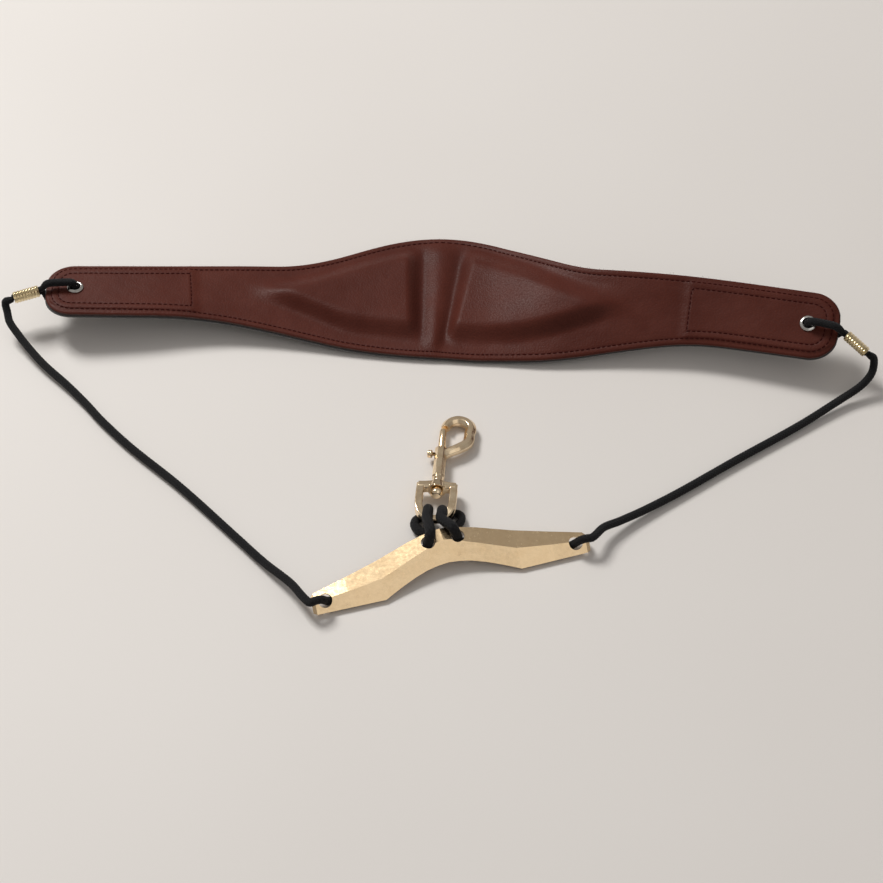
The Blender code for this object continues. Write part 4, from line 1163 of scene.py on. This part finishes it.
def snap():
    def section_at(t):
        """An octagon that swells out of the barrel and narrows again at the hook's tip."""
        taper, swell = smoothstep(t, 0.8, 1.0), smoothstep(t, 0.0, 0.25)
        corners = chamfered(4.3 + 0.8 * swell - 0.7 * taper, 4.3 + 0.7 * swell - 0.5 * taper,
                            1.15 + 0.35 * swell)
        return [(across, height + 0.35 * MM * swell) for across, height in corners]

    pieces = [flat_sweep(hook_points(), section_at)]
    # Barrel, shoulder, collar, stem, stem head and its dome: from, to, two radii, sides and turn
    for low, high, first, second, sides, turn in (
            (25.4, 43.7, 3.05, 3.05, 8, CUT_CORNERS), (24.4, 26.0, 2.5, 2.9, 8, CUT_CORNERS),
            (22.6, 24.9, 2.55, 2.55, 48, 0), (14.2, 26, 1.6, 1.6, 48, 0), (14.9, 16.6, 2.9, 2.9, 48, 0),
            (14.0, 14.95, 1.9, 2.8, 48, 0)):
        pieces.append(rod((0, low, 0), (0, high, 0), first, sides, second, turn))
    bore = rod((0, 28, 0), (0, 54.9, 0), 1.95)
    slot_end = rod((-6, 33.0, 0), (-1, 33.0, 0), 1.25)
    bm = bmesh.new()
    bmesh.ops.create_cube(bm, size=1.0, matrix=Matrix.Translation(Vector((-3.5, 37.3, 0)) * MM)
                          @ Matrix.Diagonal((5 * MM, 8.9 * MM, 2.5 * MM, 1)))
    slot_run = from_bmesh(bm, "slot_run", [], smooth=False)
    item = cast("cast_snap", pieces, 3, [bore, slot_end, slot_run])
    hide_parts("snap_hook")
    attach(item, "snap")


def gate():
    """The sliding bolt and the knob that moves it, as profiles in millimetres."""
    bolt_profile = ([(0.0, 38.5), (1.45, 38.5), (1.7, 38.75), (1.7, 54.6)]
                    + arc_points((0.9, 55.55), 0.80, 0, 80, 6) + [(0.0, 56.4)])
    knob_profile = ([(0.0, 0.5), (0.9, 0.5), (0.9, 3.75), (1.35, 3.85), (1.8, 4.15), (1.9, 4.5)]
                    + [(1.9 + 0.08 * math.sin(i * math.pi / 2), 4.5 + 0.2 * i) for i in range(1, 6)]
                    + arc_points((1.1, 5.55), 0.78, 0, 75, 6) + [(0.0, 6.3)])
    along_snap = Matrix.Rotation(math.radians(-90), 4, "X")
    sideways = Matrix.Translation((0, 40.5 * MM, 0)) @ Matrix.Rotation(math.radians(-90), 4, "Y")
    bolt, stud = (
        turned(name, [(r * MM, h * MM) for r, h in profile], SNAP_GOLD, snap_matrix() @ place, steps)
        for name, profile, place, steps in (("sliding_bolt", bolt_profile, along_snap, 72),
                                            ("thumb_knob", knob_profile, sideways, 40)))
    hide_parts("bolt")
    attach(bolt, "gate")
    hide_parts("thumb_stud")
    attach(stud, "gate")


# CAD nodes that are sealed in the pad, and the spring in the snap

def carried_over():
    for kind, look in (("foam_pad_{}", FOAM), ("{}_end_stiffener", BOARD)):
        for side in ("left", "right"):
            item = frame["nodes"][kind.format(side)]
            item.data.materials.clear()
            item.data.materials.append(look)


def spring():
    """The coil behind the bolt."""
    node = frame["nodes"]["bolt_spring"]
    mesh = node.data.copy()
    mesh.transform(node.matrix_world)
    item = link("coil_spring", mesh, [STEEL])
    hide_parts("bolt_spring")
    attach(item, "snap")
    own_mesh(item)


# Table and light

FLOOR_LEVEL, FLOOR_HALF = -0.15 * MM, 4.0


def table_top():
    made, tree, shader = new_material("table", (0.74, 0.70, 0.68), 0.55)
    place = place_of(tree)
    tone = noise_at(tree, place, 3, 2)
    tone = ramp(tree, tone, 0.35, 0.65)
    colour_from(tree, shader, mix(tree, tone, (0.745, 0.712, 0.686), (0.770, 0.740, 0.715)))
    bump(tree, shader, noise_at(tree, place, 900, 3), 0.0002, 0.05)
    bm = bmesh.new()
    bmesh.ops.create_grid(bm, x_segments=2, y_segments=2, size=FLOOR_HALF)
    floor = from_bmesh(bm, "table_top", [made])
    floor.location.z = FLOOR_LEVEL


def area_light(name, place, size, power, colour):
    """A square light that faces the origin."""
    data = bpy.data.lights.new(name, "AREA")
    data.energy = power
    data.color = colour
    data.size = size
    item = bpy.data.objects.new(name, data)
    bpy.context.scene.collection.objects.link(item)
    item.location = place
    item.rotation_euler = (-Vector(place)).to_track_quat("-Z", "Y").to_euler()


def lighting():
    area_light("window", (-1.06, 1.20, 1.79), 0.72, 42.5, (1.0, 0.985, 0.955))
    area_light("front_card", (0.45, -0.72, 0.94), 0.75, 0.85, (1.0, 0.975, 0.94))
    area_light("back_card", (-0.30, 0.60, 1.32), 0.65, 0.66, (1.0, 0.985, 0.955))
    world = bpy.data.worlds.new("studio")
    bpy.context.scene.world = world
    world.use_nodes = True
    tree = world.node_tree
    background = tree.nodes["Background"]
    direction = add(tree, "SeparateXYZ", {0: add(tree, "TexCoord").outputs["Generated"]}).outputs["Z"]
    sky = ramp(tree, direction, 0.05, 0.75, (0.60, 0.56, 0.53), (0.86, 0.83, 0.80))
    tree.links.new(sky, background.inputs["Color"])
    background.inputs["Strength"].default_value = 0.38


pad()
stitching()
fibres()
for make in (eyelet, ferrule, eyelet_loop):
    make("left", -1)
    make("right", 1)
spreader_bar()
hitch()
free_cord("left", -1, LEFT_ROUTE)
free_cord("right", 1, RIGHT_ROUTE)
eye()
snap()
gate()
carried_over()
spring()
table_top()
lighting()
